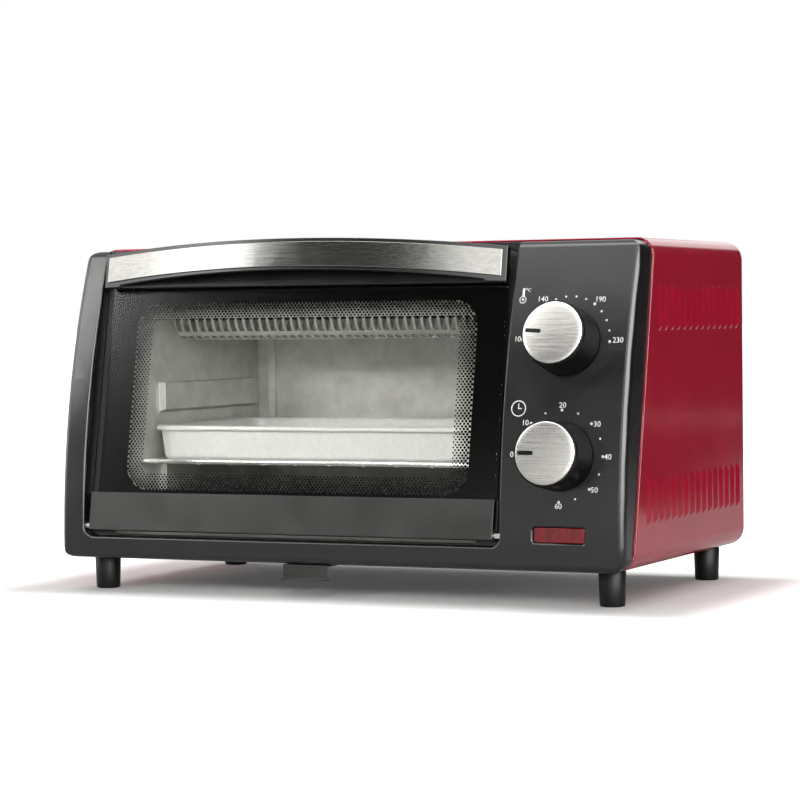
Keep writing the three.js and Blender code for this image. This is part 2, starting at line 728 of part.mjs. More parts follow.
function trayBody(inset, low, high) {
  const round = bakingTray.bottomRound - inset / 2;
  const outline = roundedRectangle(
    opening.centreX - trayHalfWidth + bakingTray.rim + inset,
    opening.centreX + trayHalfWidth - bakingTray.rim - inset,
    trayFront + bakingTray.rim + inset, trayBack - bakingTray.rim - inset,
    bakingTray.cornerRound - bakingTray.rim - inset,
  );
  const geometry = new THREE.ExtrudeGeometry(outline, {
    depth: high - low - round + overrun, bevelEnabled: true, bevelThickness: round, bevelSize: round,
    bevelOffset: -round, bevelSegments: trayEdgeSteps, curveSegments: arcSteps,
  });
  return solidFrom(geometry.translate(0, 0, low + round));
}

function bakingTraySolid() {
  const low = rackTop + seatGap;
  const high = low + bakingTray.height;
  const rimOutline = roundedRectangle(
    opening.centreX - trayHalfWidth, opening.centreX + trayHalfWidth,
    trayFront, trayBack, bakingTray.cornerRound,
  );
  const rim = prism(rimOutline, 'z', high - bakingTray.rimDrop, high);
  const past = high + 2 * bakingTray.bottomRound + 2 * overrun;
  const above = block([-halfBody, halfBody], [0, bodyDepth], [high, past]);
  return trayBody(0, low, high)
    .add(rim)
    .subtract(trayBody(sheet, low + sheet, high + overrun))
    .subtract(above);
}

function crumbTraySolid() {
  const tray = crumbTray;
  const outline = (inset) => roundedRectangle(
    opening.centreX - tray.halfWidth + inset, opening.centreX + tray.halfWidth - inset,
    tray.front + inset, crumbTrayBack - inset, tray.cornerRound - inset,
  );
  const tabX = [tray.tabCentreX - tray.tabWidth / 2, tray.tabCentreX + tray.tabWidth / 2];
  return prism(outline(0), 'z', tray.bottom, tray.top)
    .subtract(prism(outline(sheet), 'z', tray.bottom + sheet, tray.top + overrun))
    .add(block(tabX, [tray.tabFace, tray.front + sheet], [tray.top - sheet, tray.top]))
    .add(block(tabX, [tray.tabFace, tray.tabFace + sheet], [tray.tabBottom, tray.top]))
    .add(block(
      tabX, [tray.tabFace - tray.tabLip, tray.tabFace + sheet], [tray.tabBottom, tray.tabBottom + sheet],
    ));
}

// An angle under the base plate that carries one edge of the crumb tray
function trayRunner(side) {
  const edge = opening.centreX + side * (crumbTray.halfWidth + seatGap);
  const top = basePlateZ - seatGap;
  const low = crumbTray.bottom - seatGap - sheet;
  const along = [runner.front, bodyDepth - runner.backGap];
  return block(span(edge, edge + side * sheet), along, [low, top])
    .add(block(span(edge - side * runner.foot, edge + side * sheet), along, [low, low + sheet]));
}

function doorScrewShape(side, radius, from, to) {
  return rod('y', side * doorScrew.spread, doorScrewZ, radius, from, to);
}

function doorGlass() {
  const half = glass.thickness / 2;
  const outline = roundedRectangle(
    -glass.halfWidth, glass.halfWidth, glass.bottom, doorReach - glass.topGap, glass.cornerRound,
  );
  return prism(outline, 'y', -half, half)
    .subtract(doorScrewShape(-1, doorScrew.holeRadius, -overrun, overrun))
    .subtract(doorScrewShape(1, doorScrew.holeRadius, -overrun, overrun));
}

function doorRail() {
  const half = glass.thickness / 2 + seatGap;
  const bar = block([-rail.halfWidth, rail.halfWidth], [-rail.front, rail.back], [rail.bottom, rail.top]);
  const groove = block(
    [-rail.halfWidth - overrun, rail.halfWidth + overrun], [-half, half],
    [rail.slotBottom, rail.top + overrun],
  );
  const reach = hinge.pinInset + seatGap;
  const pinHoles = [-1, 1].map((side) => rod(
    'x', 0, 0, hinge.pinHoleRadius,
    ...span(side * (rail.halfWidth - reach), side * (rail.halfWidth + reach)),
  ));
  return bar.subtract(groove).subtract(joined(pinHoles));
}

function hingePin(side) {
  const inner = side * (rail.halfWidth - hinge.pinInset);
  const outer = side * (opening.width / 2 + frame.wall + bracket.thickness + seatGap);
  return rod('x', 0, 0, hinge.pinRadius, ...span(inner, outer));
}

// Plan of the bowed front of the handle, a distance in front of (or behind) its face
function bowPoints(halfWidth, offset) {
  const ends = glass.thickness / 2 + handle.endProud;
  return stepsAcross(handle.halfWidth, bowSteps)
    .filter((x) => Math.abs(x) <= halfWidth)
    .map((x) => [x, -(ends + handle.bow * archShare(x, handle.halfWidth)) - offset]);
}

function archPoints(halfWidth, endZ, rise) {
  return stepsAcross(halfWidth, bowSteps).map((x) => [x, endZ + rise * archShare(x, halfWidth)]);
}

function doorHandle() {
  const back = -glass.thickness / 2 - seatGap;
  const wide = handle.halfWidth;
  const plan = polygon([...bowPoints(wide, 0), [wide, back], [-wide, back]]);
  const elevation = polygon([
    ...archPoints(wide, handleTop, handle.rise).reverse(), [-wide, handleBottom], [wide, handleBottom],
  ]);
  const past = handleTop + handle.rise + overrun;
  const body = prism(plan, 'z', handleBottom, past).intersect(prism(elevation, 'y', -bodyDepth, overrun));
  const inner = wide - handle.hollowEnd;
  const behind = back - handle.backWall;
  const hollowPlan = polygon([...bowPoints(inner, -handle.wall), [inner, behind], [-inner, behind]]);
  const hollow = prism(hollowPlan, 'z', handleBottom - overrun, handleTop - handle.hollowTop);
  const underLip = polygon([
    ...archPoints(inner, handleLip, handle.lipRise).reverse(),
    [-inner, handleBottom - overrun], [inner, handleBottom - overrun],
  ]);
  const pilots = [-1, 1].map((side) => doorScrewShape(
    side, doorScrew.shankRadius + seatGap, back - doorScrew.reach - seatGap, overrun,
  ));
  return body.subtract(hollow)
    .subtract(prism(underLip, 'y', -bodyDepth, behind))
    .subtract(joined(pilots));
}

function handleInlay() {
  const wide = handle.halfWidth - inlay.sideBorder;
  const face = bowPoints(handle.halfWidth, inlay.thickness + seatGap);
  const seat = bowPoints(handle.halfWidth, seatGap).reverse();
  const band = polygon([
    ...archPoints(wide, handleTop - inlay.topBorder, handle.rise).reverse(),
    ...archPoints(wide, handleLip + inlay.lowBorder, handle.lipRise),
  ]);
  const past = handleTop + handle.rise + overrun;
  return prism(polygon([...face, ...seat]), 'z', handleBottom, past)
    .intersect(prism(band, 'y', -bodyDepth, overrun));
}

function doorScrewSolid(side) {
  const seat = glass.thickness / 2 + seatGap;
  const tip = -glass.thickness / 2 - seatGap - doorScrew.reach;
  return doorScrewShape(side, doorScrew.headRadius, seat, seat + doorScrew.head)
    .add(doorScrewShape(side, doorScrew.shankRadius, tip, seat + doorScrew.head / 2));
}

function knobSolid() {
  const bore = shaft.radius + seatGap;
  const seat = knob.height - knob.discSeat;
  const bottom = knob.gap + knob.socketDepth;
  return turned([
    [bore, knob.gap], [knob.skirtRadius, knob.gap],
    [knob.rimRadius + knob.rimRound / 2, knob.height - knob.rimRound],
    [knob.rimRadius, knob.height], [knob.discRadius + seatGap, knob.height],
    [knob.discRadius + seatGap, seat], [0, seat], [0, bottom], [bore, bottom], [bore, knob.gap],
  ], wheelSides);
}

// The steel disc set into the knob's face, slotted for the pointer at the left
function knobCap() {
  const seat = knob.height - knob.discSeat + seatGap;
  const top = seat + knob.discThickness;
  const edge = knob.discThickness / 2;
  const disc = turned([
    [0, seat], [knob.discRadius, seat], [knob.discRadius, top - edge],
    [knob.discRadius - edge, top], [0, top],
  ], wheelSides);
  const outline = roundedRectangle(
    -slot.outer, -slot.inner, -slot.halfWidth, slot.halfWidth, slot.endRound,
  );
  return disc.subtract(prism(outline, 'y', -top - overrun, -seat + overrun));
}

function shaftSolid() {
  const tip = knob.gap + knob.socketDepth - seatGap;
  const round = rod('y', 0, 0, shaft.radius, -tip, shaft.tail, rodSides);
  const cut = shaft.radius - shaft.flat;
  return round.subtract(block(
    [-shaft.radius, shaft.radius], [-tip - overrun, -knob.gap], [cut, cut + shaft.radius],
  ));
}

function shaftBore(depth) {
  return rod('y', 0, 0, shaft.radius + shaft.clearance, -overrun, depth + seatGap, rodSides);
}

// A flat body seats on the curved inner face at its upper and lower edges
function seatDepth(height) {
  return frame.wall + seatGap + (height / 2) ** 2 / (2 * frame.curveRadius);
}

function thermostatBody() {
  const near = seatDepth(2 * thermostat.radius);
  const half = thermostat.plateWidth / 2;
  const plate = block(
    [-half, half], [near, near + thermostat.plate],
    [-thermostat.plateHeight / 2, thermostat.plateHeight / 2],
  );
  const can = rod('y', 0, 0, thermostat.radius, near, near + thermostat.depth, footSides);
  const tabs = [-1, 1].map((side) => block(
    [side * thermostat.tab - sheet, side * thermostat.tab + sheet],
    [near + thermostat.depth - sheet, near + thermostat.depth + thermostat.tab],
    [-thermostat.tab / 2, thermostat.tab / 2],
  ));
  return plate.add(can).add(joined(tabs)).subtract(shaftBore(shaft.tail));
}

function timerBody() {
  const near = seatDepth(timer.height);
  const box = block(
    [-timer.width / 2, timer.width / 2], [near, near + timer.depth],
    [-timer.height / 2, timer.height / 2],
  );
  const end = near + timer.depth + timer.bellDepth - timer.bellWall - seatGap;
  return box.add(rod('y', 0, 0, timer.postRadius, near + timer.depth - sheet, end, rodSides))
    .subtract(shaftBore(shaft.tail));
}

// The bell is a cup over the back of the timer, carried on the timer's centre post
function timerBell() {
  const rim = seatDepth(timer.height) + timer.depth + seatGap;
  const crown = rim + timer.bellDepth - seatGap;
  const wall = timer.bellWall;
  const shoulder = timer.bellShoulder;
  return turned([
    [timer.bellRadius - wall, -rim], [timer.bellRadius, -rim], [timer.bellRadius, -crown + shoulder],
    [timer.bellRadius - shoulder, -crown], [0, -crown], [0, -crown + wall],
    [timer.bellRadius - shoulder - wall / 2, -crown + wall], [timer.bellRadius - wall, -crown + shoulder],
    [timer.bellRadius - wall, -rim],
  ], footSides);
}

function lensSolid() {
  const depth = faceDepth(lensZ) + lens.recess;
  return prism(lensOutline(0), 'y', depth, depth + lens.depth);
}

function lampSolid() {
  const from = faceDepth(lensZ) + lens.recess + lens.depth + seatGap;
  return rod('y', controlsX, lensZ, lamp.radius, from, from + lamp.length);
}

function terminalSolid() {
  const low = basePlateZ + sheet + seatGap;
  const base = block(
    [controlsX - terminal.width / 2, controlsX + terminal.width / 2],
    [terminalY, terminalY + terminal.depth], [low, low + terminal.height],
  );
  return base.subtract(block(
    [controlsX - terminal.width / 2 - overrun, controlsX + terminal.width / 2 + overrun],
    [terminalY - overrun, terminalY + terminal.notch],
    [low + terminal.height / 2, low + terminal.height + overrun],
  ));
}

// An inner wire through hand-placed points, round in section
function cableSolid(points) {
  const path = new THREE.CatmullRomCurve3(points.map(([x, y, z]) => new THREE.Vector3(x, y, z)));
  const section = wheelOutline(0, 0, cable.radius, wireSides);
  return solidFrom(new THREE.ExtrudeGeometry(section, {
    steps: cableSteps, extrudePath: path, bevelEnabled: false,
  }));
}

function controlPoint(z, x, depth, height) {
  return new THREE.Vector3(x, depth, height).applyMatrix4(controlMatrix(z)).toArray();
}

// Inner wires: each leaves one terminal straight, and ends straight on the next
function innerWires() {
  const studRight = cavityRight + sheet + element.endPast + element.stud + seatGap;
  const studLeft = cavityLeft - sheet - element.endPast - element.stud - seatGap;
  const blockTop = basePlateZ + sheet + 2 * seatGap + terminal.height;
  const blockY = terminalY + terminal.entry;
  const timerMid = seatDepth(timer.height) + timer.depth / 2;
  const timerEdge = timer.height / 2 + 2 * seatGap;
  const tabEnd = seatDepth(2 * thermostat.radius) + thermostat.depth + thermostat.tab + seatGap;
  const timerX = -timer.width / 3;
  const wireY = elementY;
  const over = cable.sideRoom;
  return {
    timer_wire: [
      [controlsX + timerX, blockY, blockTop], [controlsX + timerX, blockY, blockTop + cable.lift],
      [controlsX + timerX, blockY - 2 * cable.span, blockTop + cable.lift],
      controlPoint(timerZ, timerX, cable.bow, -timerEdge - cable.lift),
      controlPoint(timerZ, timerX, timerMid, -timerEdge - cable.lead),
      controlPoint(timerZ, timerX, timerMid, -timerEdge),
    ],
    thermostat_wire: [
      controlPoint(timerZ, timerX, timerMid, timerEdge),
      controlPoint(timerZ, timerX, timerMid, timerEdge + cable.lead),
      controlPoint(thermostatZ, -thermostat.tab, tabEnd + cable.span, -cable.span),
      controlPoint(thermostatZ, -thermostat.tab, tabEnd + cable.lead, 0),
      controlPoint(thermostatZ, -thermostat.tab, tabEnd, 0),
    ],
    upper_element_wire: [
      [studRight, wireY, upperElementZ], [studRight + cable.lead, wireY, upperElementZ],
      controlPoint(thermostatZ, thermostat.tab, tabEnd + 2 * cable.span, 0),
      controlPoint(thermostatZ, thermostat.tab, tabEnd + cable.lead, 0),
      controlPoint(thermostatZ, thermostat.tab, tabEnd, 0),
    ],
    lower_element_wire: [
      [studRight, wireY, lowerElementZ], [studRight + cable.lead, wireY, lowerElementZ],
      [controlsX, wireY + cable.span, lowerElementZ + cable.lift],
      [controlsX, blockY, blockTop + cable.lift], [controlsX, blockY, blockTop],
    ],
    element_link_wire: [
      [studLeft, wireY, upperElementZ], [studLeft - over / 2, wireY, upperElementZ],
      [studLeft - over, wireY, upperElementZ - cable.span],
      [studLeft - over, wireY, lowerElementZ + cable.span],
      [studLeft - over / 2, wireY, lowerElementZ], [studLeft, wireY, lowerElementZ],
    ],
  };
}

function tilted(name, solid, finish, matrix) {
  const mesh = piece(name, solid, finish);
  mesh.applyMatrix4(matrix);
  return mesh;
}

function addCabinet(oven) {
  oven.add(piece('cabinet', cabinetShell(), 'red'));
  oven.add(piece('base_plate', basePlateSolid(), 'zinc'));
  oven.add(piece('rear_panel', rearPanelSolid(), 'zinc'));
  rearScrewPlaces().forEach(([x, z], i) => {
    oven.add(piece(`rear_screw_${i + 1}`, rearScrewSolid(x, z), 'steel'));
  });
  oven.add(piece('cord_gland', glandSolid(), 'rubber'));
  const side = halfBody - feet.sideInset;
  const rear = bodyDepth - feet.rearGap;
  const places = {
    foot_front_left: [-side, feet.frontY], foot_front_right: [side, feet.frontY],
    foot_rear_left: [-side, rear], foot_rear_right: [side, rear],
  };
  for (const [name, [x, y]] of Object.entries(places)) {
    const foot = piece(name, solidFrom(footSolid()), 'rubber');
    foot.position.set(x, y, 0);
    oven.add(foot);
  }
}

function addCavity(oven) {
  oven.add(piece('cavity_shell', cavityShell(), 'zinc'));
  oven.add(piece('cavity_back', cavityBack(), 'zinc'));
  oven.add(piece('face_plate', facePlateSolid(), 'black'));
  oven.add(piece('heat_shield', heatShield(), 'zinc'));
  oven.add(piece('element_guard', elementGuard(), 'zinc'));
  oven.add(piece('upper_heating_element', elementSolid(upperElementZ), 'element'));
  oven.add(piece('lower_heating_element', elementSolid(lowerElementZ), 'element'));
  const rows = { upper: upperElementZ, lower: lowerElementZ };
  for (const [row, z] of Object.entries(rows)) {
    oven.add(piece(`${row}_left_bush`, bushSolid(-1, z), 'ceramic'));
    oven.add(piece(`${row}_right_bush`, bushSolid(1, z), 'ceramic'));
  }
}

function addTrays(oven) {
  oven.add(piece('wire_rack', wireRack(), 'steel'));
  oven.add(piece('baking_tray', bakingTraySolid(), 'tray'));
  oven.add(piece('crumb_tray', crumbTraySolid(), 'zinc'));
  oven.add(piece('tray_runner_left', trayRunner(-1), 'zinc'));
  oven.add(piece('tray_runner_right', trayRunner(1), 'zinc'));
}

function addDoor(oven) {
  const door = new THREE.Group();
  door.position.set(opening.centreX, hinge.y, hinge.z);
  door.rotation.x = -leanAngle;
  door.add(piece('door_glass', doorGlass(), 'glass'));
  door.add(piece('door_rail', doorRail(), 'black'));
  door.add(piece('door_handle', doorHandle(), 'black'));
  door.add(piece('handle_inlay', handleInlay(), 'steel'));
  door.add(piece('hinge_pin_left', hingePin(-1), 'steel'));
  door.add(piece('hinge_pin_right', hingePin(1), 'steel'));
  door.add(piece('handle_screw_left', doorScrewSolid(-1), 'steel'));
  door.add(piece('handle_screw_right', doorScrewSolid(1), 'steel'));
  oven.add(door);
  oven.add(piece('hinge_bracket_left', hingeBracket(-1), 'zinc'));
  oven.add(piece('hinge_bracket_right', hingeBracket(1), 'zinc'));
}

function addControls(oven) {
  const places = { thermostat: thermostatZ, timer: timerZ };
  for (const [name, z] of Object.entries(places)) {
    const matrix = controlMatrix(z);
    oven.add(tilted(`${name}_knob`, knobSolid(), 'black', matrix));
    oven.add(tilted(`${name}_knob_cap`, knobCap(), 'steel', matrix));
    oven.add(tilted(`${name}_shaft`, shaftSolid(), 'steel', matrix));
  }
  oven.add(tilted('thermostat_body', thermostatBody(), 'ceramic', controlMatrix(thermostatZ)));
  oven.add(tilted('timer_body', timerBody(), 'zinc', controlMatrix(timerZ)));
  oven.add(tilted('timer_bell', timerBell(), 'steel', controlMatrix(timerZ)));
  oven.add(piece('indicator_lens', lensSolid(), 'lens'));
  oven.add(piece('indicator_lamp', lampSolid(), 'ceramic'));
  oven.add(piece('terminal_block', terminalSolid(), 'ceramic'));
  for (const [name, points] of Object.entries(innerWires())) {
    oven.add(piece(name, cableSolid(points), 'cable'));
  }
}

const oven = new THREE.Group();
oven.add(piece('front_frame', frontFrame(), 'black'));
addCabinet(oven);
addCavity(oven);
addTrays(oven);
addDoor(oven);
addControls(oven);

// Centre the model over its footprint
const model = new THREE.Group();
model.add(oven);
model.updateMatrixWorld(true);
const bounds = new THREE.Box3().setFromObject(model, true);
const middle = bounds.getCenter(new THREE.Vector3());
oven.position.set(-middle.x, -middle.y, -bounds.min.z);

export default model;
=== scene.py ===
# %% [markdown]
# # A counter-top electric oven
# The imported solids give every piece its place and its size. This file gives the pieces their
# finish, and makes finer ones where the eye looks for more: ribs on the dials, the dotted print
# on the door glass, the rolled rim of the tray. It is read from top to bottom, cell by cell.

import json
import math

import bmesh
import bpy
from mathutils import Matrix, Vector


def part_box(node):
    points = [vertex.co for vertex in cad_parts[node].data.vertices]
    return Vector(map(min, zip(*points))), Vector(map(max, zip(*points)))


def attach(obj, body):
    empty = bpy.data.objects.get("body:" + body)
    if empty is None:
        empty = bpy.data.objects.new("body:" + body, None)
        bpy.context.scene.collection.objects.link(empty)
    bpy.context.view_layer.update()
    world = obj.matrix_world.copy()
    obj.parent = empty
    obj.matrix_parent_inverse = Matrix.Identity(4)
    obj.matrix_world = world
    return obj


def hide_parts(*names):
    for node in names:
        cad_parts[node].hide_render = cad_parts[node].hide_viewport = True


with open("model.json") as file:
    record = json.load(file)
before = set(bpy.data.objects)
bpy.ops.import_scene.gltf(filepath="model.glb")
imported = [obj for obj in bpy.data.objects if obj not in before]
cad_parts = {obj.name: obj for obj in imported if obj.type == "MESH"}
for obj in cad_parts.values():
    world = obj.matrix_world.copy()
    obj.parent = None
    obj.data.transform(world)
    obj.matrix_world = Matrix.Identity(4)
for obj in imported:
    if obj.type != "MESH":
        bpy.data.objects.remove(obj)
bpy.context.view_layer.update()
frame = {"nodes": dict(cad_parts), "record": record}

# %% [markdown]
# ## Places
# An oven is drawn in millimetres, from the lowest front edge of its front frame backwards. The
# shared frame is in metres and centred over the feet, so one matrix takes a drawn piece there.
# The closed door leans back over its hinge, and each dial stands square to the curved face, so
# both get a matrix of their own.

# %% From drawn millimetres to the shared frame
FRONT_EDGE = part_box("front_frame")[0].y * 1000
TO_FRAME = Matrix.Diagonal((0.001, 0.001, 0.001, 1)) @ Matrix.Translation((0, FRONT_EDGE, 0))
DOOR_CENTRE, HINGE_Y, HINGE_Z = -29.75, 3.63, 39
DOOR_LEAN = math.atan(0.182)
DIAL_X, THERMOSTAT_Z, TIMER_Z = 140.4, 146.4, 83.9
CURVE_START, CURVE_RADIUS = 27, 455


def face_depth(z):
    """Depth of the front frame's curved face at a height."""
    return max(0, z - CURVE_START) ** 2 / (2 * CURVE_RADIUS)


def on_dial(z):
    """The place of a dial: its local -Y stands out of the curved face."""
    lean = math.atan((z - CURVE_START) / CURVE_RADIUS)
    return Matrix.Translation((DIAL_X, face_depth(z), z)) @ Matrix.Rotation(-lean, 4, "X")


ON_DOOR = Matrix.Translation((DOOR_CENTRE, HINGE_Y, HINGE_Z)) @ Matrix.Rotation(-DOOR_LEAN, 4, "X")
print("front edge", round(FRONT_EDGE, 2), "door lean", round(math.degrees(DOOR_LEAN), 2))

# %% [markdown]
# ## The camera
# The view comes from the edges of the real object: straight edges, dial centres and corners were
# matched by least squares, to half a pixel. A long lens at a metre and a half keeps the verticals
# nearly parallel, as a product photographer does.

# %% Camera
VIEW_ANGLES = 25.4672, 1.8129, -0.6815
CAMERA_PLACE = 0.7020, -1.4700, 0.1629
azimuth, elevation, roll = (math.radians(a) for a in VIEW_ANGLES)
back = Vector((
    math.sin(azimuth) * math.cos(elevation), -math.cos(azimuth) * math.cos(elevation),
    math.sin(elevation),
))
level = Vector((math.cos(azimuth), math.sin(azimuth), 0))
upright = back.cross(level)
right = math.cos(roll) * level + math.sin(roll) * upright
up = math.cos(roll) * upright - math.sin(roll) * level
camera = bpy.data.objects.new("camera", bpy.data.cameras.new("camera"))
bpy.context.scene.collection.objects.link(camera)
camera.data.lens = 122.33
camera.data.sensor_width = 36
turned = Matrix((right, up, back)).transposed().to_4x4()
camera.matrix_world = Matrix.Translation(CAMERA_PLACE) @ turned
bpy.context.scene.camera = camera
print("lens", camera.data.lens, "distance", round(camera.location.length, 3))

# %% [markdown]
# ## A small kit for finishes
# A finish is a material made of nodes. One function adds a node with its settings and links, one
# turns a paint-chart colour into the linear value that light is worked out in, and one starts a
# material with its surface shader. Pattern sizes are given in millimetres of the real object.

# %% Material helpers
def srgb(code):
    """A hex colour as a linear RGBA value."""
    parts = [int(code[i:i + 2], 16) / 255 for i in (1, 3, 5)]
    return (*[p / 12.92 if p <= 0.04045 else ((p + 0.055) / 1.055) ** 2.4 for p in parts], 1)


def add(tree, kind, links=None, **settings):
    """Adds a node. Links maps a socket to a value or to another node's output."""
    node = tree.nodes.new("ShaderNode" + kind)
    for key, value in settings.items():
        setattr(node, key, value)
    for key, value in (links or {}).items():
        if isinstance(value, bpy.types.NodeSocket):
            tree.links.new(value, node.inputs[key])
        else:
            node.inputs[key].default_value = value
    return node


def start_finish(name):
    """An empty material, and its node tree."""
    material = bpy.data.materials.new(name)
    material.use_nodes = True
    material.node_tree.nodes.clear()
    return material, material.node_tree


def end_finish(material, shader):
    """Leads the last shader to a material's output."""
    add(material.node_tree, "OutputMaterial", {0: shader.outputs[0]})
    return material


def grain(tree, size, stretch=(1, 1, 1), detail=3, roughness=0.5):
    """Noise whose features are about size millimetres, longer along the stretched axes."""
    place = add(tree, "Mapping", {
        "Vector": add(tree, "TexCoord").outputs["Object"],
        "Scale": tuple(1000 / (size * s) for s in stretch),
    })
    noise = add(tree, "TexNoise", {
        "Vector": place.outputs[0], "Scale": 1, "Detail": detail, "Roughness": roughness,
    })
    return noise.outputs[0]


def calc(tree, operation, first, second):
    """The result of one maths node."""
    return add(tree, "Math", {0: first, 1: second}, operation=operation).outputs[0]


def between(tree, factor, low, high):
    """A colour that runs from low to high with a pattern."""
    mix = add(tree, "Mix", {0: factor, 6: srgb(low), 7: srgb(high)}, data_type="RGBA")
    return mix.outputs[2]


def spread(tree, value, low, high, start=0.3, end=0.7):
    """A pattern's value stretched to run from low to high."""
    return add(tree, "MapRange", {0: value, 1: start, 2: end, 3: low, 4: high}).outputs[0]


def clouded(tree, pattern, low, high):
    """A colour that reaches its low and high shades where the pattern is weak and strong."""
    return between(tree, spread(tree, pattern, 0, 1), low, high)


def relief(tree, height, depth):
    """Bump of a real depth in millimetres."""
    return add(tree, "Bump", {"Height": height, "Distance": depth / 1000}).outputs[0]


def surface(material, **inputs):
    """Ends with the surface shader, its sockets named by words joined with underscores."""
    links = {key.replace("_", " "): value for key, value in inputs.items()}
    return end_finish(material, add(material.node_tree, "BsdfPrincipled", links))


print("red chip", tuple(round(v, 3) for v in srgb("#b0152e")))

# %% [markdown]
# ## Red coating
# The cabinet is sheet steel with a gloss baked coating. Under a lamp it shows a faint orange-peel
# ripple, about a millimetre across, and the colour goes a little deeper where it lies thicker.

# %% Finish: baked gloss coating
def baked_gloss_coating():
    material, tree = start_finish("baked_gloss_coating")
    cloud = grain(tree, 30, detail=2)
    ripple = grain(tree, 1.6, detail=2)
    return surface(
        material, Base_Color=clouded(tree, cloud, "#a8102e", "#b41434"),
        Roughness=spread(tree, ripple, 0.09, 0.13), IOR=1.5, Normal=relief(tree, ripple, 0.006),
    )


RED_COATING = baked_gloss_coating()
print(RED_COATING.name)

# %% [markdown]
# ## Black mouldings
# The front frame, dials and handle are moulded in heat-proof resin. The mould is etched, so the
# frame has a very fine satin grain, and the handle's mould is polished. The ribs of the dials and
# the rubber of the feet throw back less light. The stove paint of the door's rail is made up
# like an etched face too, so one function serves all five.

# %% Finish: etched and polished mouldings
def etched_moulding(name, low, high, rough, depth, shine=0.5):
    material, tree = start_finish(name)
    etch = grain(tree, 0.5, detail=4)
    flow = grain(tree, 24, detail=2)
    return surface(
        material, Base_Color=clouded(tree, flow, low, high),
        Roughness=spread(tree, flow, *rough), IOR=1.5,
        Specular_IOR_Level=shine, Normal=relief(tree, etch, depth),
    )


SATIN_MOULDING = etched_moulding(
    "etched_satin_moulding", "#11100f", "#141312", rough=(0.22, 0.27), depth=0.008)
RIBBED_MOULDING = etched_moulding(
    "dial_moulding", "#0c0c0b", "#0f0f0e", rough=(0.26, 0.32), depth=0.006, shine=0.22)
POLISHED_MOULDING = etched_moulding(
    "polished_moulding", "#0d0d0c", "#111110", rough=(0.2, 0.26), depth=0.004)
RAIL_PAINT = etched_moulding(
    "satin_stove_paint", "#201f1c", "#262421", rough=(0.28, 0.36), depth=0.008)
FOOT_RUBBER = etched_moulding(
    "moulded_rubber", "#0f0f0e", "#131312", rough=(0.38, 0.46), depth=0.02, shine=0.22)
print(SATIN_MOULDING.name, RIBBED_MOULDING.name, POLISHED_MOULDING.name)

# %% [markdown]
# ## Steels
# Brushed steel is drawn under an abrasive belt, so its scratches run one way and spread a
# highlight across them. Real ones are too fine to show here, so they are drawn half a millimetre
# wide. Aluminium-coated sheet is dull and cloudy. The tray is pale enamel on steel, and the rack
# is wire with a bright nickel plate. A cloudy pattern with a finer fleck gives all of these.

# %% Finish: belt-brushed steel
def belt_brushed_steel(name, low, high, rough):
    material, tree = start_finish(name)
    scratch = grain(tree, 0.5, stretch=(50, 1, 1), detail=2)
    streak = grain(tree, 1.0, stretch=(40, 1, 1), detail=3)
    return surface(
        material, Base_Color=clouded(tree, streak, low, high),
        Metallic=1.0, Roughness=spread(tree, scratch, *rough), Normal=relief(tree, scratch, 0.006),
    )


DISC_STEEL = belt_brushed_steel("bright_brushed_steel", "#b0aea9", "#bebcb7", rough=(0.24, 0.3))
BAND_STEEL = belt_brushed_steel("dull_brushed_steel", "#7b7a77", "#878682", rough=(0.15, 0.21))
print(DISC_STEEL.name, BAND_STEEL.name)


# %% Finish: coated sheet, plate, enamel and ceramic
def coated_sheet(name, low, high, size, metallic, rough):
    material, tree = start_finish(name)
    cloud = grain(tree, size, detail=5, roughness=0.6)
    fleck = grain(tree, size / 9, detail=3)
    return surface(
        material, Base_Color=clouded(tree, cloud, low, high), Metallic=metallic,
        Roughness=spread(tree, cloud, *rough), Normal=relief(tree, fleck, 0.012),
    )


CAVITY_SHEET = coated_sheet(
    "aluminium_coated_sheet", "#b4b4ae", "#cfcfca", size=14, metallic=0.3, rough=(0.38, 0.5))
ZINC_SHEET = coated_sheet(
    "zinc_coated_sheet", "#9a9c9c", "#b9bbba", size=7, metallic=0.9, rough=(0.36, 0.5))
PLATED_STEEL = coated_sheet(
    "bright_plated_steel", "#dededb", "#ebebe8", size=5, metallic=0.75, rough=(0.16, 0.24))
TRAY_ENAMEL = coated_sheet(
    "pale_tray_enamel", "#d4d4d0", "#dededa", size=3, metallic=0.0, rough=(0.3, 0.4))
HEATER_SHEATH = coated_sheet(
    "heat_darkened_sheath", "#4a4743", "#5d5953", size=4, metallic=0.8, rough=(0.45, 0.6))
CERAMIC = coated_sheet(
    "unglazed_ceramic", "#e2dccf", "#ece7db", size=2, metallic=0.0, rough=(0.7, 0.8))
print(CAVITY_SHEET.name, ZINC_SHEET.name, PLATED_STEEL.name, TRAY_ENAMEL.name)

# %% [markdown]
# ## Woven sleeve, white ink, black print, red lens and glass
# The inner wires wear a woven glass sleeve. Dial marks are one coat of white ink, and the door
# print is black enamel fired on the glass. The lens is clear red acrylic. Glass is light passing
# through with a thin reflection on top, which grows at a slant.

# %% Finish: woven sleeve
def woven_sleeve():
    material, tree = start_finish("woven_glass_sleeve")
    place = add(tree, "TexCoord").outputs["Object"]
    weave = add(tree, "TexWave", {
        "Vector": place, "Scale": 320.0, "Distortion": 1.5, "Detail": 2.0,
    }, wave_type="BANDS", bands_direction="DIAGONAL")
    return surface(
        material, Base_Color=between(tree, weave.outputs[1], "#9d9786", "#c9c3b3"),
        Roughness=0.8, Normal=relief(tree, weave.outputs[1], 0.1),
    )


# %% Finish: inks, lens and door glass
def flat_ink(name, low, high, roughness):
    material, tree = start_finish(name)
    speck = grain(tree, 0.3, detail=3)
    return surface(
        material, Base_Color=clouded(tree, speck, low, high),
        Roughness=roughness, Normal=relief(tree, speck, 0.004),
    )


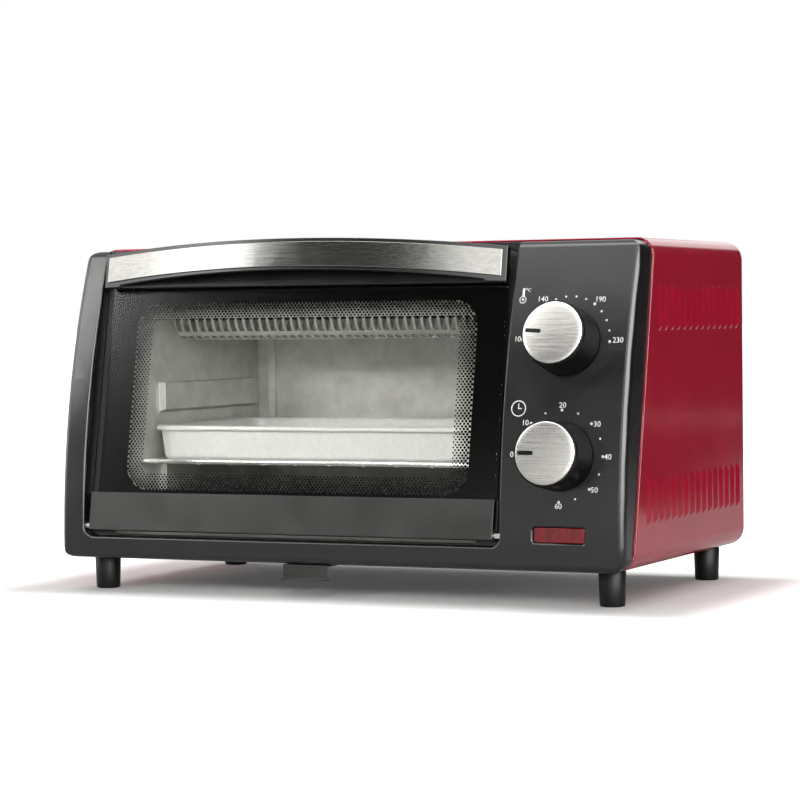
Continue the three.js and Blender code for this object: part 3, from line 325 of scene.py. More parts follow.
def clear_red_acrylic():
    material, tree = start_finish("clear_red_acrylic")
    prism = grain(tree, 2.4, stretch=(1, 1, 3), detail=1)
    return surface(
        material, Base_Color=clouded(tree, prism, "#6a0d16", "#9c1c28"),
        Roughness=0.12, IOR=1.49, Transmission_Weight=0.35, Normal=relief(tree, prism, 0.05),
    )


def float_glass():
    """A flat pane bends nothing seen through it, so it is a clear view under a faint shine."""
    material, tree = start_finish("float_glass")
    smear = grain(tree, 40, detail=2)
    clear = add(tree, "BsdfTransparent", {"Color": (0.985, 0.985, 0.98, 1)})
    shine = add(tree, "BsdfGlossy", {
        "Color": (1, 1, 1, 1), "Roughness": spread(tree, smear, 0.01, 0.03),
    })
    outside = calc(tree, "SUBTRACT", 1.0, add(tree, "NewGeometry").outputs["Backfacing"])
    share = calc(tree, "MULTIPLY", add(tree, "Fresnel", {"IOR": 1.12}).outputs[0], outside)
    mix = add(tree, "MixShader", {0: share, 1: clear.outputs[0], 2: shine.outputs[0]})
    return end_finish(material, mix)


SLEEVE = woven_sleeve()
WHITE_INK = flat_ink("white_dial_ink", "#e9e9e6", "#f6f6f3", 0.5)
BLACK_PRINT = flat_ink("black_fired_print", "#030303", "#050505", 0.13)
RED_LENS = clear_red_acrylic()
GLASS = float_glass()
print(SLEEVE.name, WHITE_INK.name, BLACK_PRINT.name, RED_LENS.name, GLASS.name)

# %% [markdown]
# ## Setting a piece down
# A new piece is drawn as a bmesh in millimetres, placed once, and shaded smooth except at its real
# edges. It rides on the body that carries it and stands for the solids it replaces. Where a packed
# solid already has the right form, its own shape is taken, its loose triangles are joined into
# real faces, and its edges get a small bevel, because no moulded or pressed edge is razor sharp.
# Sheet and print are drawn flat, which is simpler, and given their thickness at the end.

# %% Piece helpers
BODIES = frame["record"]["behaviour"]["bodies"]
BODY_OF = {node: body for body, nodes in BODIES.items() for node in nodes}


def mesh_from(name, shape):
    """A mesh with a drawn shape in it; the drawing itself is done with."""
    mesh = bpy.data.meshes.new(name)
    shape.to_mesh(mesh)
    shape.free()
    return mesh


def add_object(name, data):
    """A new object in the scene."""
    made = bpy.data.objects.new(name, data)
    bpy.context.scene.collection.objects.link(made)
    return made


def set_down(name, shape, finish, stands_for=(), body="body", place=Matrix(), angle=35):
    """Turns a drawn shape into a piece of the oven. With no place it is in the shared frame
    already. An angle of 0 keeps every face flat."""
    if place is not None:
        shape.transform(TO_FRAME @ place)
    mesh = mesh_from(name, shape)
    for material in finish if isinstance(finish, list) else [finish]:
        mesh.materials.append(material)
    mesh.polygons.foreach_set("use_smooth", [angle > 0] * len(mesh.polygons))
    mesh.set_sharp_from_angle(angle=math.radians(angle))
    piece = add_object(name, mesh)
    nodes = [stands_for] if isinstance(stands_for, str) else list(stands_for)
    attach(piece, BODY_OF[nodes[0]] if nodes else body)
    if nodes:
        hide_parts(*nodes)
    return piece


def solid_shape(node):
    """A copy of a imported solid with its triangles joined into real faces."""
    shape = bmesh.new()
    shape.from_mesh(frame["nodes"][node].data)
    bmesh.ops.remove_doubles(shape, verts=shape.verts, dist=1e-6)
    bmesh.ops.dissolve_limit(
        shape, angle_limit=math.radians(0.5), verts=shape.verts, edges=shape.edges)
    return shape


def dressed(name, node, finish, width, segments=2, angle=25, clamp=True, shape=None):
    """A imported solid's shape as a piece, with a bevel of a width in millimetres on every edge
    sharper than an angle. A clamp keeps the bevel narrower than the smallest face."""
    shape = shape or solid_shape(node)
    piece = set_down(name, shape, finish, stands_for=node, place=None, angle=50)
    bevel = piece.modifiers.new("broken_edges", "BEVEL")
    bevel.width, bevel.segments, bevel.use_clamp_overlap = width / 1000, segments, clamp
    bevel.limit_method, bevel.angle_limit = "ANGLE", math.radians(angle)
    piece.modifiers.new("even_shading", "WEIGHTED_NORMAL").keep_sharp = True
    return bevel


def thicken(piece, thickness, offset=-1):
    """Gives flat faces a thickness in millimetres, behind them for -1 and in front for 1."""
    sheet = piece.modifiers.new("sheet", "SOLIDIFY")
    sheet.thickness, sheet.offset = thickness / 1000, offset


# %% [markdown]
# ## Front frame
# One moulding carries the face that curves backwards, the door opening and the seats of both
# dials. The facets of its rounded flanks are shaded as one curve, and the right one stands a
# millimetre inside the cabinet. The rims of the door opening and of the lens slot have a wider
# break than the rest, which catches the light as a thin pale line.

# %% Front frame
HALF_FRAME, FLANK_WIDTH, STEP_IN = 180.0, 14, 1.0
frame_shape = solid_shape("front_frame")
for vert in frame_shape.verts:
    if vert.co.x * 1000 > HALF_FRAME - FLANK_WIDTH:
        vert.co.x -= STEP_IN / 1000

# %% Rims of its openings
FACE_BAND, FACE_LOW = 0.6, 30
HALF_OPENING, SIDE_BAND, SILL_TOP = 134.75, 6.3, 39.5
LENS_LEFT, LENS_LOW, LENS_HIGH = 120, 34, 48
FLANK_X, FLANK_DEPTH = 175, 5
PLAIN_BREAK = 0.15
door_sides = [DOOR_CENTRE + side * HALF_OPENING for side in (-1, 1)]


def behind_face(point):
    """How far behind the curved face a point of the frame lies, in millimetres."""
    return point.y * 1000 - FRONT_EDGE - face_depth(point.z * 1000)


def rims_at(point):
    """The rims of the face that a point of the frame lies on."""
    x, z = point.x * 1000, point.z * 1000
    on_face = abs(behind_face(point)) < FACE_BAND and z > FACE_LOW
    found = {
        "side": min(abs(x - side) for side in door_sides) < SIDE_BAND,
        "sill": z < SILL_TOP and door_sides[0] < x < door_sides[1],
        "lens": x > LENS_LEFT and LENS_LOW < z < LENS_HIGH,
    }
    return {rim for rim, near in found.items() if near and on_face}


weight = frame_shape.edges.layers.float.new("bevel_weight_edge")
rims = 0
for edge in frame_shape.edges:
    if len(edge.link_faces) != 2 or edge.calc_face_angle(0) < math.radians(25):
        continue
    ends = [v.co for v in edge.verts]
    at_flank = all(abs(e.x) * 1000 > FLANK_X and behind_face(e) < FLANK_DEPTH for e in ends)
    wide = bool(rims_at(ends[0]) & rims_at(ends[1]))
    edge[weight] = 0 if at_flank else 1 if wide else PLAIN_BREAK
    rims += wide
bevel = dressed(
    "front_frame_moulding", "front_frame", SATIN_MOULDING, 1.1, segments=3, clamp=False,
    shape=frame_shape)
bevel.limit_method = "WEIGHT"
print("edges of the opening's rim", rims)

# %% [markdown]
# ## Cabinet
# The cabinet is one strip of sheet bent round both sides and the top, with rows of louvres pushed
# outwards by a press. Its front edge is rolled over a wire-thin radius, which shows as a bright
# line along the frame, so a strip with that section is drawn round the cabinet's outline.

# %% Cabinet
CABINET_LOW, CABINET_HIGH, CABINET_CORNER = 20, 204.2, 11
EDGE_LOW_Y, EDGE_HIGH_Y = 12.1, 50.3
HEM_END, CORNER_STEPS = 156, 8


def front_of_cabinet(z):
    """Depth of the cabinet's slanted front edge at a height."""
    share = (z - CABINET_LOW) / (CABINET_HIGH - CABINET_LOW)
    return EDGE_LOW_Y + (EDGE_HIGH_Y - EDGE_LOW_Y) * share


def hem_path():
    """Points round the cabinet's outline with the direction that is outwards there."""
    inner_x = HALF_FRAME - CABINET_CORNER
    inner_low, inner_high = CABINET_LOW + CABINET_CORNER, CABINET_HIGH - CABINET_CORNER
    path = [((HEM_END, CABINET_LOW), (0, -1))]
    for x, z, first in ((inner_x, inner_low, -90), (inner_x, inner_high, 0),
                        (-inner_x, inner_high, 90), (-inner_x, inner_low, 180)):
        for step in range(CORNER_STEPS + 1):
            turn = math.radians(first + 90 * step / CORNER_STEPS)
            way = (math.cos(turn), math.sin(turn))
            path.append(((x + CABINET_CORNER * way[0], z + CABINET_CORNER * way[1]), way))
    return path + [((-HEM_END, CABINET_LOW), (0, -1))]


# %% Its rolled front edge
# Points of the roll's section: how far outwards, and how far back.
hem_section = [(-1.15, -0.26), (-1.0, -0.28), (-0.12, 0.16), (-0.03, 0.25), (0, 0.4), (0, 1.2)]
cabinet_shape = solid_shape("cabinet")
hem = [cabinet_shape.verts.new() for _ in hem_section]
edges = [cabinet_shape.edges.new(pair) for pair in zip(hem, hem[1:])]
hem_faces = []
for number, ((x, z), way) in enumerate(hem_path()):
    if number:
        drawn = bmesh.ops.extrude_edge_only(cabinet_shape, edges=edges)["geom"]
        edges = [g for g in drawn if isinstance(g, bmesh.types.BMEdge)]
        hem_faces += [g for g in drawn if isinstance(g, bmesh.types.BMFace)]
        hem = [v for v in drawn if isinstance(v, bmesh.types.BMVert)]
    for vert, (out, depth) in zip(hem, hem_section):
        vert.co = TO_FRAME @ Vector((
            x + out * way[0], front_of_cabinet(z) + depth, z + out * way[1]))
cabinet_shape.normal_update()
if sum(f.normal.y for f in hem_faces) > 0:
    bmesh.ops.reverse_faces(cabinet_shape, faces=hem_faces)
dressed(
    "cabinet_wrap", "cabinet", RED_COATING, 0.22, angle=18, clamp=False, shape=cabinet_shape)
print("hem faces", len(hem_faces))

# %% [markdown]
# ## Feet
# The feet are moulded rubber, round and slightly tapered. A foot could be a cylinder with bevels,
# but a profile spun about its axis gives its whole form at once. Dials and screws are turned
# shapes too, so the same helper serves them.


# %% Feet
def spun(profile, steps, axis="Y"):
    """Spins (radius, distance out) points once about an axis. Out is -Y, or up for Z."""
    shape = bmesh.new()
    out = Vector((0, -1, 0)) if axis == "Y" else Vector((0, 0, 1))
    verts = [shape.verts.new(Vector((r, 0, 0)) + out * d) for r, d in profile]
    edges = [shape.edges.new(pair) for pair in zip(verts, verts[1:])]
    bmesh.ops.spin(
        shape, geom=verts + edges, cent=(0, 0, 0), axis=(0, 1, 0) if axis == "Y" else (0, 0, 1),
        angle=math.tau, steps=steps, use_merge=True)
    bmesh.ops.remove_doubles(shape, verts=shape.verts, dist=1e-4)
    bmesh.ops.recalc_face_normals(shape, faces=shape.faces)
    return shape


foot_profile = [
    (0, 1.2), (3.2, 1.2), (3.6, 0), (6.2, 0), (6.8, 0.25), (7.1, 0.9), (7.76, 19.1), (7.5, 19.6),
    (0, 19.6),
]
for node in ("foot_front_left", "foot_front_right", "foot_rear_left", "foot_rear_right"):
    low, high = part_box(node)
    middle = Matrix.Translation(((low.x + high.x) * 500, (low.y + high.y) * 500 - FRONT_EDGE, 0))
    set_down(node + "_turned", spun(foot_profile, 40, "Z"), FOOT_RUBBER, stands_for=node,
             place=middle)
print("foot height", foot_profile[-1][1])

# %% [markdown]
# ## Rear panel, its screws and the gland
# The back is zinc-coated sheet held by six pan-head screws. A screw is a spun shank and a low
# round head with a small flat crown. The gland is a moulded ring in the panel.

# %% Rear
dressed("rear_sheet", "rear_panel", ZINC_SHEET, 0.12, segments=1, angle=40)
dressed("gland_ring", "cord_gland", FOOT_RUBBER, 0.5, angle=40)


def pan_head_screw(head_radius, head, shank_radius, shank):
    """A screw with its head towards +Y, its seat at 0, and a flat crown."""
    shape = spun([
        (0, shank), (shank_radius * 0.6, shank), (shank_radius, shank - 0.8), (shank_radius, 0),
        (head_radius, 0), (head_radius, -head * 0.35), (head_radius * 0.86, -head * 0.75),
        (head_radius * 0.6, -head), (head_radius * 0.5, -head),
    ], 32)
    crown = bmesh.ops.contextual_create(
        shape, geom=[e for e in shape.edges if e.is_boundary])["faces"]
    bmesh.ops.inset_region(shape, faces=crown, thickness=head_radius * 0.06)
    bmesh.ops.translate(shape, verts=crown[0].verts, vec=(0, -0.01, 0))
    return shape


REAR_HEAD = 1.6
rear_screws = sorted(n for n in frame["nodes"] if n.startswith("rear_screw"))
for node in rear_screws:
    low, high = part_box(node)
    seat = high.y * 1000 - FRONT_EDGE - REAR_HEAD
    at = Matrix.Translation(((low.x + high.x) * 500, seat, (low.z + high.z) * 500))
    screw = pan_head_screw(head_radius=3.6, head=REAR_HEAD, shank_radius=1.6, shank=4.8)
    set_down(node + "_pan_head", screw, PLATED_STEEL, stands_for=node, place=at)
print("rear screws", len(rear_screws))

# %% [markdown]
# ## Baking space
# The lining is aluminium-coated sheet, bent and dull, with a pressed ledge on each side and a
# bead round the back. The bead is pulled a little forwards, so that it catches the light. The
# upper element hides behind a half tube with rows of slots. Each slot could be cut out of the
# tube, but it is quicker to inset and open a flat net of cells, and then to roll it up.

# %% Lining
BEAD_RISE, SAME_PLANE = 2.6, 0.1
dressed("oven_lining", "cavity_shell", CAVITY_SHEET, 0.5)
back_shape = solid_shape("cavity_back")
bead_front = min(v.co.y for v in back_shape.verts)
for vert in back_shape.verts:
    if vert.co.y < bead_front + SAME_PLANE / 1000:
        vert.co.y -= BEAD_RISE / 1000
dressed("oven_back", "cavity_back", CAVITY_SHEET, 1.1, segments=3, shape=back_shape)
print("bead moved forwards to", round(bead_front * 1000 - BEAD_RISE, 2))

# %% Slotted guard
GUARD_Y, GUARD_Z, GUARD_RADIUS, HALF_GUARD = 94.65, 163.5, 14.5, 117.2
COLUMNS, SLOT_BORDER, GUARD_SHEET = 43, 1.35, 0.8
# Rows round the tube: where each starts and ends, in degrees, and whether it is slotted.
guard_rows = [(-16, 3, False), (3, 46, True), (46, 53, False), (53, 81, True), (81, 99, False),
              (99, 127, True), (127, 134, False), (134, 177, True), (177, 196, False)]
guard_shape = bmesh.new()
bmesh.ops.create_grid(guard_shape, x_segments=COLUMNS, y_segments=len(guard_rows), size=0.5)
for vert in guard_shape.verts:
    row = round((vert.co.y + 0.5) * len(guard_rows))
    turn = guard_rows[row][0] if row < len(guard_rows) else guard_rows[-1][1]
    vert.co = (vert.co.x * 2 * HALF_GUARD, math.radians(turn) * GUARD_RADIUS, 0)
open_faces = [
    f for f in guard_shape.faces
    if any(slotted and start < math.degrees(f.calc_center_median().y / GUARD_RADIUS) < end
           for start, end, slotted in guard_rows)
]
bmesh.ops.inset_individual(guard_shape, faces=open_faces, thickness=SLOT_BORDER)
bmesh.ops.delete(guard_shape, geom=open_faces, context="FACES")
bmesh.ops.subdivide_edges(guard_shape, edges=guard_shape.edges[:], cuts=2, use_grid_fill=True)
for vert in guard_shape.verts:
    turn = vert.co.y / GUARD_RADIUS
    vert.co = (vert.co.x + DOOR_CENTRE, GUARD_Y - GUARD_RADIUS * math.cos(turn),
               GUARD_Z - GUARD_RADIUS * math.sin(turn))
bmesh.ops.recalc_face_normals(guard_shape, faces=guard_shape.faces)
guard = set_down("slotted_guard", guard_shape, CAVITY_SHEET, stands_for="element_guard")
thicken(guard, GUARD_SHEET)
print("guard slots", len(open_faces))

# %% [markdown]
# ## Elements, rack and trays
# The elements and the rack are round rod and wire. A curve with a round section would do as well,
# but a cone with equal ends is a closed shape at once, and its ends are easily softened.

# %% Rods and wires
def rod(shape, start, end, radius, sides=16):
    """A round rod between two points, with its ends closed and softened."""
    start, end = Vector(start), Vector(end)
    turn = Vector((0, 0, 1)).rotation_difference(end - start).to_matrix().to_4x4()
    made = bmesh.ops.create_cone(
        shape, cap_ends=True, segments=sides, radius1=radius, radius2=radius,
        depth=(end - start).length, matrix=Matrix.Translation((start + end) / 2) @ turn)
    caps = [f for v in made["verts"] for f in v.link_faces if len(f.verts) == sides]
    rims = {e for f in caps for e in f.edges}
    bmesh.ops.bevel(
        shape, geom=list(rims), offset=radius * 0.35, offset_type="OFFSET", segments=2,
        profile=0.5, affect="EDGES", material=-1)


LOWER_ELEMENT_Z, SHEATH, PIN = 47, 3.5, 1.6
for row, z in (("upper", GUARD_Z), ("lower", LOWER_ELEMENT_Z)):
    element_shape = bmesh.new()
    for start_x, end_x, radius, sides in (
            (-160.05, 100.55, SHEATH, 24), (-165.05, -160.2, PIN, 16), (100.7, 105.55, PIN, 16)):
        rod(element_shape, (start_x, GUARD_Y, z), (end_x, GUARD_Y, z), radius, sides)
    set_down(row + "_element_sheath", element_shape, HEATER_SHEATH,
             stands_for=row + "_heating_element")

# %% Wire rack
RIM_WIRE, CROSS_WIRE, RACK_Z = 1.6, 1.2, 75.9
CROSS_WIRES, CROSS_PITCH, CROSS_DROP = 10, 22, 0.9
TIE_DROP, TIE_SHORTER = 2.1, 8
rack_shape = bmesh.new()
rack_low, rack_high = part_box("wire_rack")
x0, x1 = rack_low.x * 1000 + RIM_WIRE, rack_high.x * 1000 - RIM_WIRE
y0, y1 = rack_low.y * 1000 - FRONT_EDGE + RIM_WIRE, rack_high.y * 1000 - FRONT_EDGE - RIM_WIRE
corners = [(x, y, RACK_Z) for x, y in ((x0, y0), (x1, y0), (x1, y1), (x0, y1))]
for start, end in zip(corners, corners[1:] + corners[:1]):
    rod(rack_shape, start, end, RIM_WIRE)
for corner in corners:
    bmesh.ops.create_uvsphere(
        rack_shape, u_segments=16, v_segments=8, radius=RIM_WIRE,
        matrix=Matrix.Translation(corner))
for i in range(CROSS_WIRES):
    x, z = DOOR_CENTRE + (i - (CROSS_WIRES - 1) / 2) * CROSS_PITCH, RACK_Z - CROSS_DROP
    rod(rack_shape, (x, y0 - CROSS_WIRE, z), (x, y1 + CROSS_WIRE, z), CROSS_WIRE, 12)
y, z = (y0 + y1) / 2, RACK_Z - TIE_DROP
rod(rack_shape, (x0 + TIE_SHORTER, y, z), (x1 - TIE_SHORTER, y, z), CROSS_WIRE, 12)
set_down("plated_wire_rack", rack_shape, PLATED_STEEL, stands_for="wire_rack")
print("rack wires", len(corners) + CROSS_WIRES + 1)

# %% [markdown]
# ## Trays
# The baking tray is pressed from one sheet: a flat bottom with a small radius, walls that lean
# out, and an edge rolled into a bead. Its rim is drawn on step by step, as the press does it. The
# crumb tray is folded sheet and keeps its solid's shape.

# %% Trays
def rounded_plate(half_x, half_y, radius, steps=8):
    """One flat face with rounded corners, made from a square and four vertex bevels."""
    shape = bmesh.new()
    bmesh.ops.create_grid(shape, x_segments=1, y_segments=1, size=1)
    bmesh.ops.scale(shape, vec=(half_x, half_y, 1), verts=shape.verts)
    bmesh.ops.bevel(
        shape, geom=shape.verts[:], offset=radius, offset_type="OFFSET", segments=steps,
        profile=0.5, affect="VERTICES", material=-1)
    return shape


def raise_wall(shape, half_x, half_y, radius, steps):
    """Draws the rim of a plate on through (outward, up) steps, as a press draws sheet."""
    rim = [e for e in shape.edges if e.is_boundary]
    for outward, lift in steps:
        drawn = bmesh.ops.extrude_edge_only(shape, edges=rim)["geom"]
        rim = [g for g in drawn if isinstance(g, bmesh.types.BMEdge)]
        for vert in {v for e in rim for v in e.verts}:
            x, y, z = vert.co
            corner = Vector((
                math.copysign(half_x - radius, x), math.copysign(half_y - radius, y), z))
            way = (vert.co - corner).normalized()
            vert.co += Vector((way.x * outward, way.y * outward, lift))


def arc_steps(radius, start, end, count):
    """Steps along an arc in (outward, up), its angles measured from straight down."""
    turns = [math.radians(start + (end - start) * i / count) for i in range(count + 1)]
    points = [(radius * math.sin(t), -radius * math.cos(t)) for t in turns]
    return [(b[0] - a[0], b[1] - a[1]) for a, b in zip(points, points[1:])]


# %% Baking tray and crumb tray
FLARE, TRAY_CORNER, TRAY_SHEET = 8.7, 7, 0.6
tray_low, tray_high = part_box("baking_tray")
tray_x, tray_y = (tray_high.x - tray_low.x) * 500, (tray_high.y - tray_low.y) * 500
bottom_x, bottom_y = tray_x - FLARE, tray_y - FLARE
tray_shape = rounded_plate(bottom_x, bottom_y, TRAY_CORNER)
raise_wall(tray_shape, bottom_x, bottom_y, TRAY_CORNER, [
    *arc_steps(3.6, 0, 84, 6), (0.5, 4), (0.6, 4.5), (0.6, 4.8), (0.2, 2.9),
    (0.3, 0.6), (0.6, 0.4), (0.7, 0), (0.6, -0.35), (0.3, -0.7), (-0.15, -0.6), (-0.5, -0.2),
])
middle = Matrix.Translation((
    (tray_low.x + tray_high.x) * 500, (tray_low.y + tray_high.y) * 500 - FRONT_EDGE,
    tray_low.z * 1000,
))
tray = set_down(
    "drawn_baking_tray", tray_shape, TRAY_ENAMEL, stands_for="baking_tray", place=middle)
thicken(tray, TRAY_SHEET, offset=1)
dressed("crumb_pan", "crumb_tray", RAIL_PAINT, 0.25, angle=30)
print("tray", round(2 * tray_x, 1), "by", round(2 * tray_y, 1))

# %% [markdown]
# ## Door
# The door is a pane between a painted rail and a bowed handle with a steel band. All four have
# the right form as solids, so they only get a finish and broken edges. Two screws hold the handle
# through the pane, and are turned like those of the back.

# %% Door glass, rail and handle
dressed("door_pane", "door_glass", GLASS, 0.5, angle=30)
dressed("door_lower_rail", "door_rail", RAIL_PAINT, 0.7, segments=3, angle=30)
dressed("bowed_handle", "door_handle", POLISHED_MOULDING, 0.9, segments=3, angle=30)
dressed("handle_band", "handle_inlay", BAND_STEEL, 0.25, angle=30)

# %% [markdown]
# ## Print on the door
# The pane's back carries a fired black print: a solid border, then a net of dots that shrink
# towards the clear window, so that the edge of the view fades instead of ending. A picture of the
# dots would blur when seen close, so every dot is a small flat shape of its own.

# %% Border of the print
def turn_faces(shape, way):
    """Turns the flat faces of a print to +Y for a way of 1, or to -Y for -1."""
    for face in shape.faces:
        if face.normal.y * way < 0:
            face.normal_flip()


PRINT_Y, PRINT_THICK = 2.06, 0.05
dots_x, dots_low, dots_high, dots_round = 111.2, 22.2, 134.0, 15.0
dots_middle = (dots_low + dots_high) / 2
dots_z = (dots_high - dots_low) / 2
pane_x, pane_low, pane_high, pane_round = 129.6, 3.0, 154.2, 2.6
stand_up = Matrix.Rotation(math.pi / 2, 4, "X")


def outline(half_x, half_z, middle_z, radius):
    """A rounded outline standing in the door's plane, as edges only."""
    shape = rounded_plate(half_x, half_z, radius)
    bmesh.ops.delete(shape, geom=shape.faces[:], context="FACES_ONLY")
    shape.transform(Matrix.Translation((0, PRINT_Y, middle_z)) @ stand_up)
    return mesh_from("outline", shape)


print_shape = bmesh.new()
for mesh in (
    outline(pane_x, (pane_high - pane_low) / 2, (pane_low + pane_high) / 2, pane_round),
    outline(dots_x, dots_z, dots_middle, dots_round),
):
    print_shape.from_mesh(mesh)
    bpy.data.meshes.remove(mesh)
bmesh.ops.bridge_loops(print_shape, edges=print_shape.edges[:])
print("border faces", len(print_shape.faces))


# %% Dots of the print
def depth_inside(x, z):
    """How far a point lies inside the rounded outline of the dotted field."""
    dx = abs(x) - (dots_x - dots_round)
    dz = abs(z - dots_middle) - (dots_z - dots_round)
    outside = math.hypot(max(dx, 0), max(dz, 0)) + min(max(dx, dz), 0)
    return dots_round - outside


pitch_x, pitch_z, field, columns_a_side = 2.3, 1.5, 10.6, 50
first_row, least_inside, largest, shrink = 0.4, 0.2, 0.94, 0.42
dots = 0
for j in range(int(2 * dots_z / pitch_z) + 1):
    z = dots_low + first_row + j * pitch_z
    for i in range(-columns_a_side, columns_a_side + 1):
        x = (i + 0.5 * (j % 2)) * pitch_x
        inside = depth_inside(x, z)
        if least_inside < inside < field:
            radius = largest - shrink * inside / field
            bmesh.ops.create_circle(
                print_shape, cap_ends=True, segments=8, radius=radius,
                matrix=Matrix.Translation((x, PRINT_Y, z)) @ stand_up)
            dots += 1
turn_faces(print_shape, 1)
door_print = set_down(
    "fired_door_print", print_shape, BLACK_PRINT, body="door", place=ON_DOOR,
    angle=0)
thicken(door_print, PRINT_THICK)
print("dots", dots)

# %% Door screws
SCREW_X, PANE_BACK, SCREW_Z = 100, 2.3, 151.99
for side, node in ((-1, "handle_screw_left"), (1, "handle_screw_right")):
    at = ON_DOOR @ Matrix.Translation((side * SCREW_X, PANE_BACK, SCREW_Z))
    screw = pan_head_screw(head_radius=3.8, head=1.8, shank_radius=1.7, shank=7.3)
    set_down(node + "_pan_head", screw, PLATED_STEEL, stands_for=node, place=at)
print("door screws at", -SCREW_X, SCREW_X)

# %% [markdown]
# ## Dials
# A dial is a turned skirt with fine ribs along it, a narrow rim, and a steel disc pressed into its
# face. The ribs come from a spin with twice as many steps as ribs, with every second row of points
# drawn in a little. The disc is spun too, half a millimetre fuller in its middle, so the light
# runs across it; its slot is cut along an outline and pushed in.

# %% Dials
knob_profile = [
    (3.3, 0.8), (19.2, 0.8), (19.55, 1.2), (19.4, 3.0), (18.75, 19.4), (18.5, 20.6), (18.15, 21.5),
    (18.0, 21.9), (17.85, 22.0), (17.75, 21.9), (17.7, 21.3), (0, 21.3), (0, 13.8), (3.3, 13.8),
    (3.3, 0.8),
]
disc_profile = [(17.4, 21.35), (17.4, 21.9), (17.3, 22.2), (17.05, 22.38), (16.7, 22.46)]
disc_profile += [(r, 22.46 + 0.55 * (1 - (r / 16.7) ** 2)) for r in (14.5, 12, 9, 6, 3, 0)]
RIBS, RIB_DEPTH, RIB_START, RIB_END, RIB_INNER = 110, 0.28, 2.5, 19.6, 18.4


def ribbed_dial():
    """A turned skirt whose every second row of points is drawn in by the depth of a rib."""
    shape = spun(knob_profile, 2 * RIBS)
    for vert in shape.verts:
        radius, out = math.hypot(vert.co.x, vert.co.z), -vert.co.y
        if RIB_START < out < RIB_END and radius > RIB_INNER:
            step = round(math.atan2(vert.co.z, vert.co.x) / (math.tau / (2 * RIBS)))
            if step % 2:
                share = (radius - RIB_DEPTH) / radius
                vert.co.x, vert.co.z = vert.co.x * share, vert.co.z * share
    return shape


# %% Steel discs
DISC_FACE, SLOT_DEPTH = 21.8, 0.7


def slotted_disc():
    """A slightly domed disc with a pointer slot cut along an outline and pushed in."""
    shape = spun(disc_profile, 96)
    left, right, half, corner = -16, -6.5, 1.15, 0.6
    cuts = [((left, 0), (1, 0)), ((right, 0), (1, 0)), ((0, half), (0, 1)), ((0, -half), (0, 1))]
    for x, inward in ((left, 1), (right, -1)):
        for z in (half, -half):
            cuts.append(((x + inward * corner, z), (1, -inward * math.copysign(1, z))))
    for (x, z), (nx, nz) in cuts:
        near = [f for f in shape.faces if f.calc_center_median().x < 0]
        around = {g for f in near for g in (*f.verts, *f.edges)}
        bmesh.ops.bisect_plane(
            shape, geom=[*near, *around], plane_co=(x, 0, z), plane_no=(nx, 0, nz), dist=1e-5)
    pushed = []
    for face in shape.faces:
        middle = face.calc_center_median()
        dx, dz = min(middle.x - left, right - middle.x), half - abs(middle.z)
        if middle.y < -DISC_FACE and min(dx, dz) > 0 and dx + dz > corner:
            pushed.append(face)
    drawn = bmesh.ops.extrude_face_region(shape, geom=pushed)["geom"]
    bmesh.ops.delete(shape, geom=pushed, context="FACES_ONLY")
    bmesh.ops.translate(
        shape, vec=(0, SLOT_DEPTH, 0),
        verts=[g for g in drawn if isinstance(g, bmesh.types.BMVert)])
    for face in (g for g in drawn if isinstance(g, bmesh.types.BMFace)):
        face.material_index = 1
    return shape


for name, z, turn in (("thermostat", THERMOSTAT_Z, 4.5), ("timer", TIMER_Z, 0)):
    set_down(name + "_ribbed_dial", ribbed_dial(), RIBBED_MOULDING, stands_for=name + "_knob",
             place=on_dial(z), angle=50)
    set_down(name + "_steel_disc", slotted_disc(), [DISC_STEEL, RIBBED_MOULDING],
             stands_for=name + "_knob_cap",
             place=on_dial(z) @ Matrix.Rotation(math.radians(turn), 4, "Y"), angle=40)
print("ribs", RIBS)

# %% [markdown]
# ## Dial marks
# The marks are printed on the curved face, so flat letters and dots are drawn in the plane and
# dropped on to the curve. The numbers are minutes and degrees.

# %% Marks
INK_IN_FRONT, INK_THICK = 0.06, 0.04
LETTER, WEIGHT, RING = 4.3, 0.009, 25.2


def drop_on_face(shape):
    """Takes a flat drawing in (x, z) and lays it on the curved face."""
    for vert in shape.verts:
        vert.co.y = face_depth(vert.co.z) - INK_IN_FRONT


def lettering(text, x, z, size):
    """Flat text about a middle point, standing in the plane of the face."""
    curve = bpy.data.curves.new("letters", "FONT")
    curve.body, curve.size = text, size
    curve.align_x, curve.align_y = "CENTER", "CENTER"
    curve.resolution_u, curve.offset = 4, size * WEIGHT
    letters = add_object("letters", curve)
    mesh = bpy.data.meshes.new_from_object(letters.evaluated_get(
        bpy.context.evaluated_depsgraph_get()))
    bpy.data.objects.remove(letters)
    mesh.transform(Matrix.Translation((x, 0, z)) @ stand_up)
    return mesh


def disc(shape, x, z, radius, hole=0):
    """A round dot, or a ring when it has a hole."""
    circles = [bmesh.ops.create_circle(
        shape, cap_ends=not hole, segments=20, radius=r,
        matrix=Matrix.Translation((x, 0, z)) @ stand_up) for r in (radius, hole) if r]
    if hole:
        loops = {e for made in circles for v in made["verts"] for e in v.link_edges}
        bmesh.ops.bridge_loops(shape, edges=list(loops))


def bar(shape, x, z, wide, high):
    """A short straight stroke."""
    made = bmesh.ops.create_grid(shape, x_segments=1, y_segments=1, size=0.5)
    bmesh.ops.scale(shape, vec=(wide, high, 1), verts=made["verts"])
    bmesh.ops.transform(
        shape, matrix=Matrix.Translation((x, 0, z)) @ stand_up, verts=made["verts"])


def write(shape, text, x, z, size):
    """Adds lettering to a drawing."""
    mesh = lettering(text, x, z, size)
    shape.from_mesh(mesh)
    bpy.data.meshes.remove(mesh)


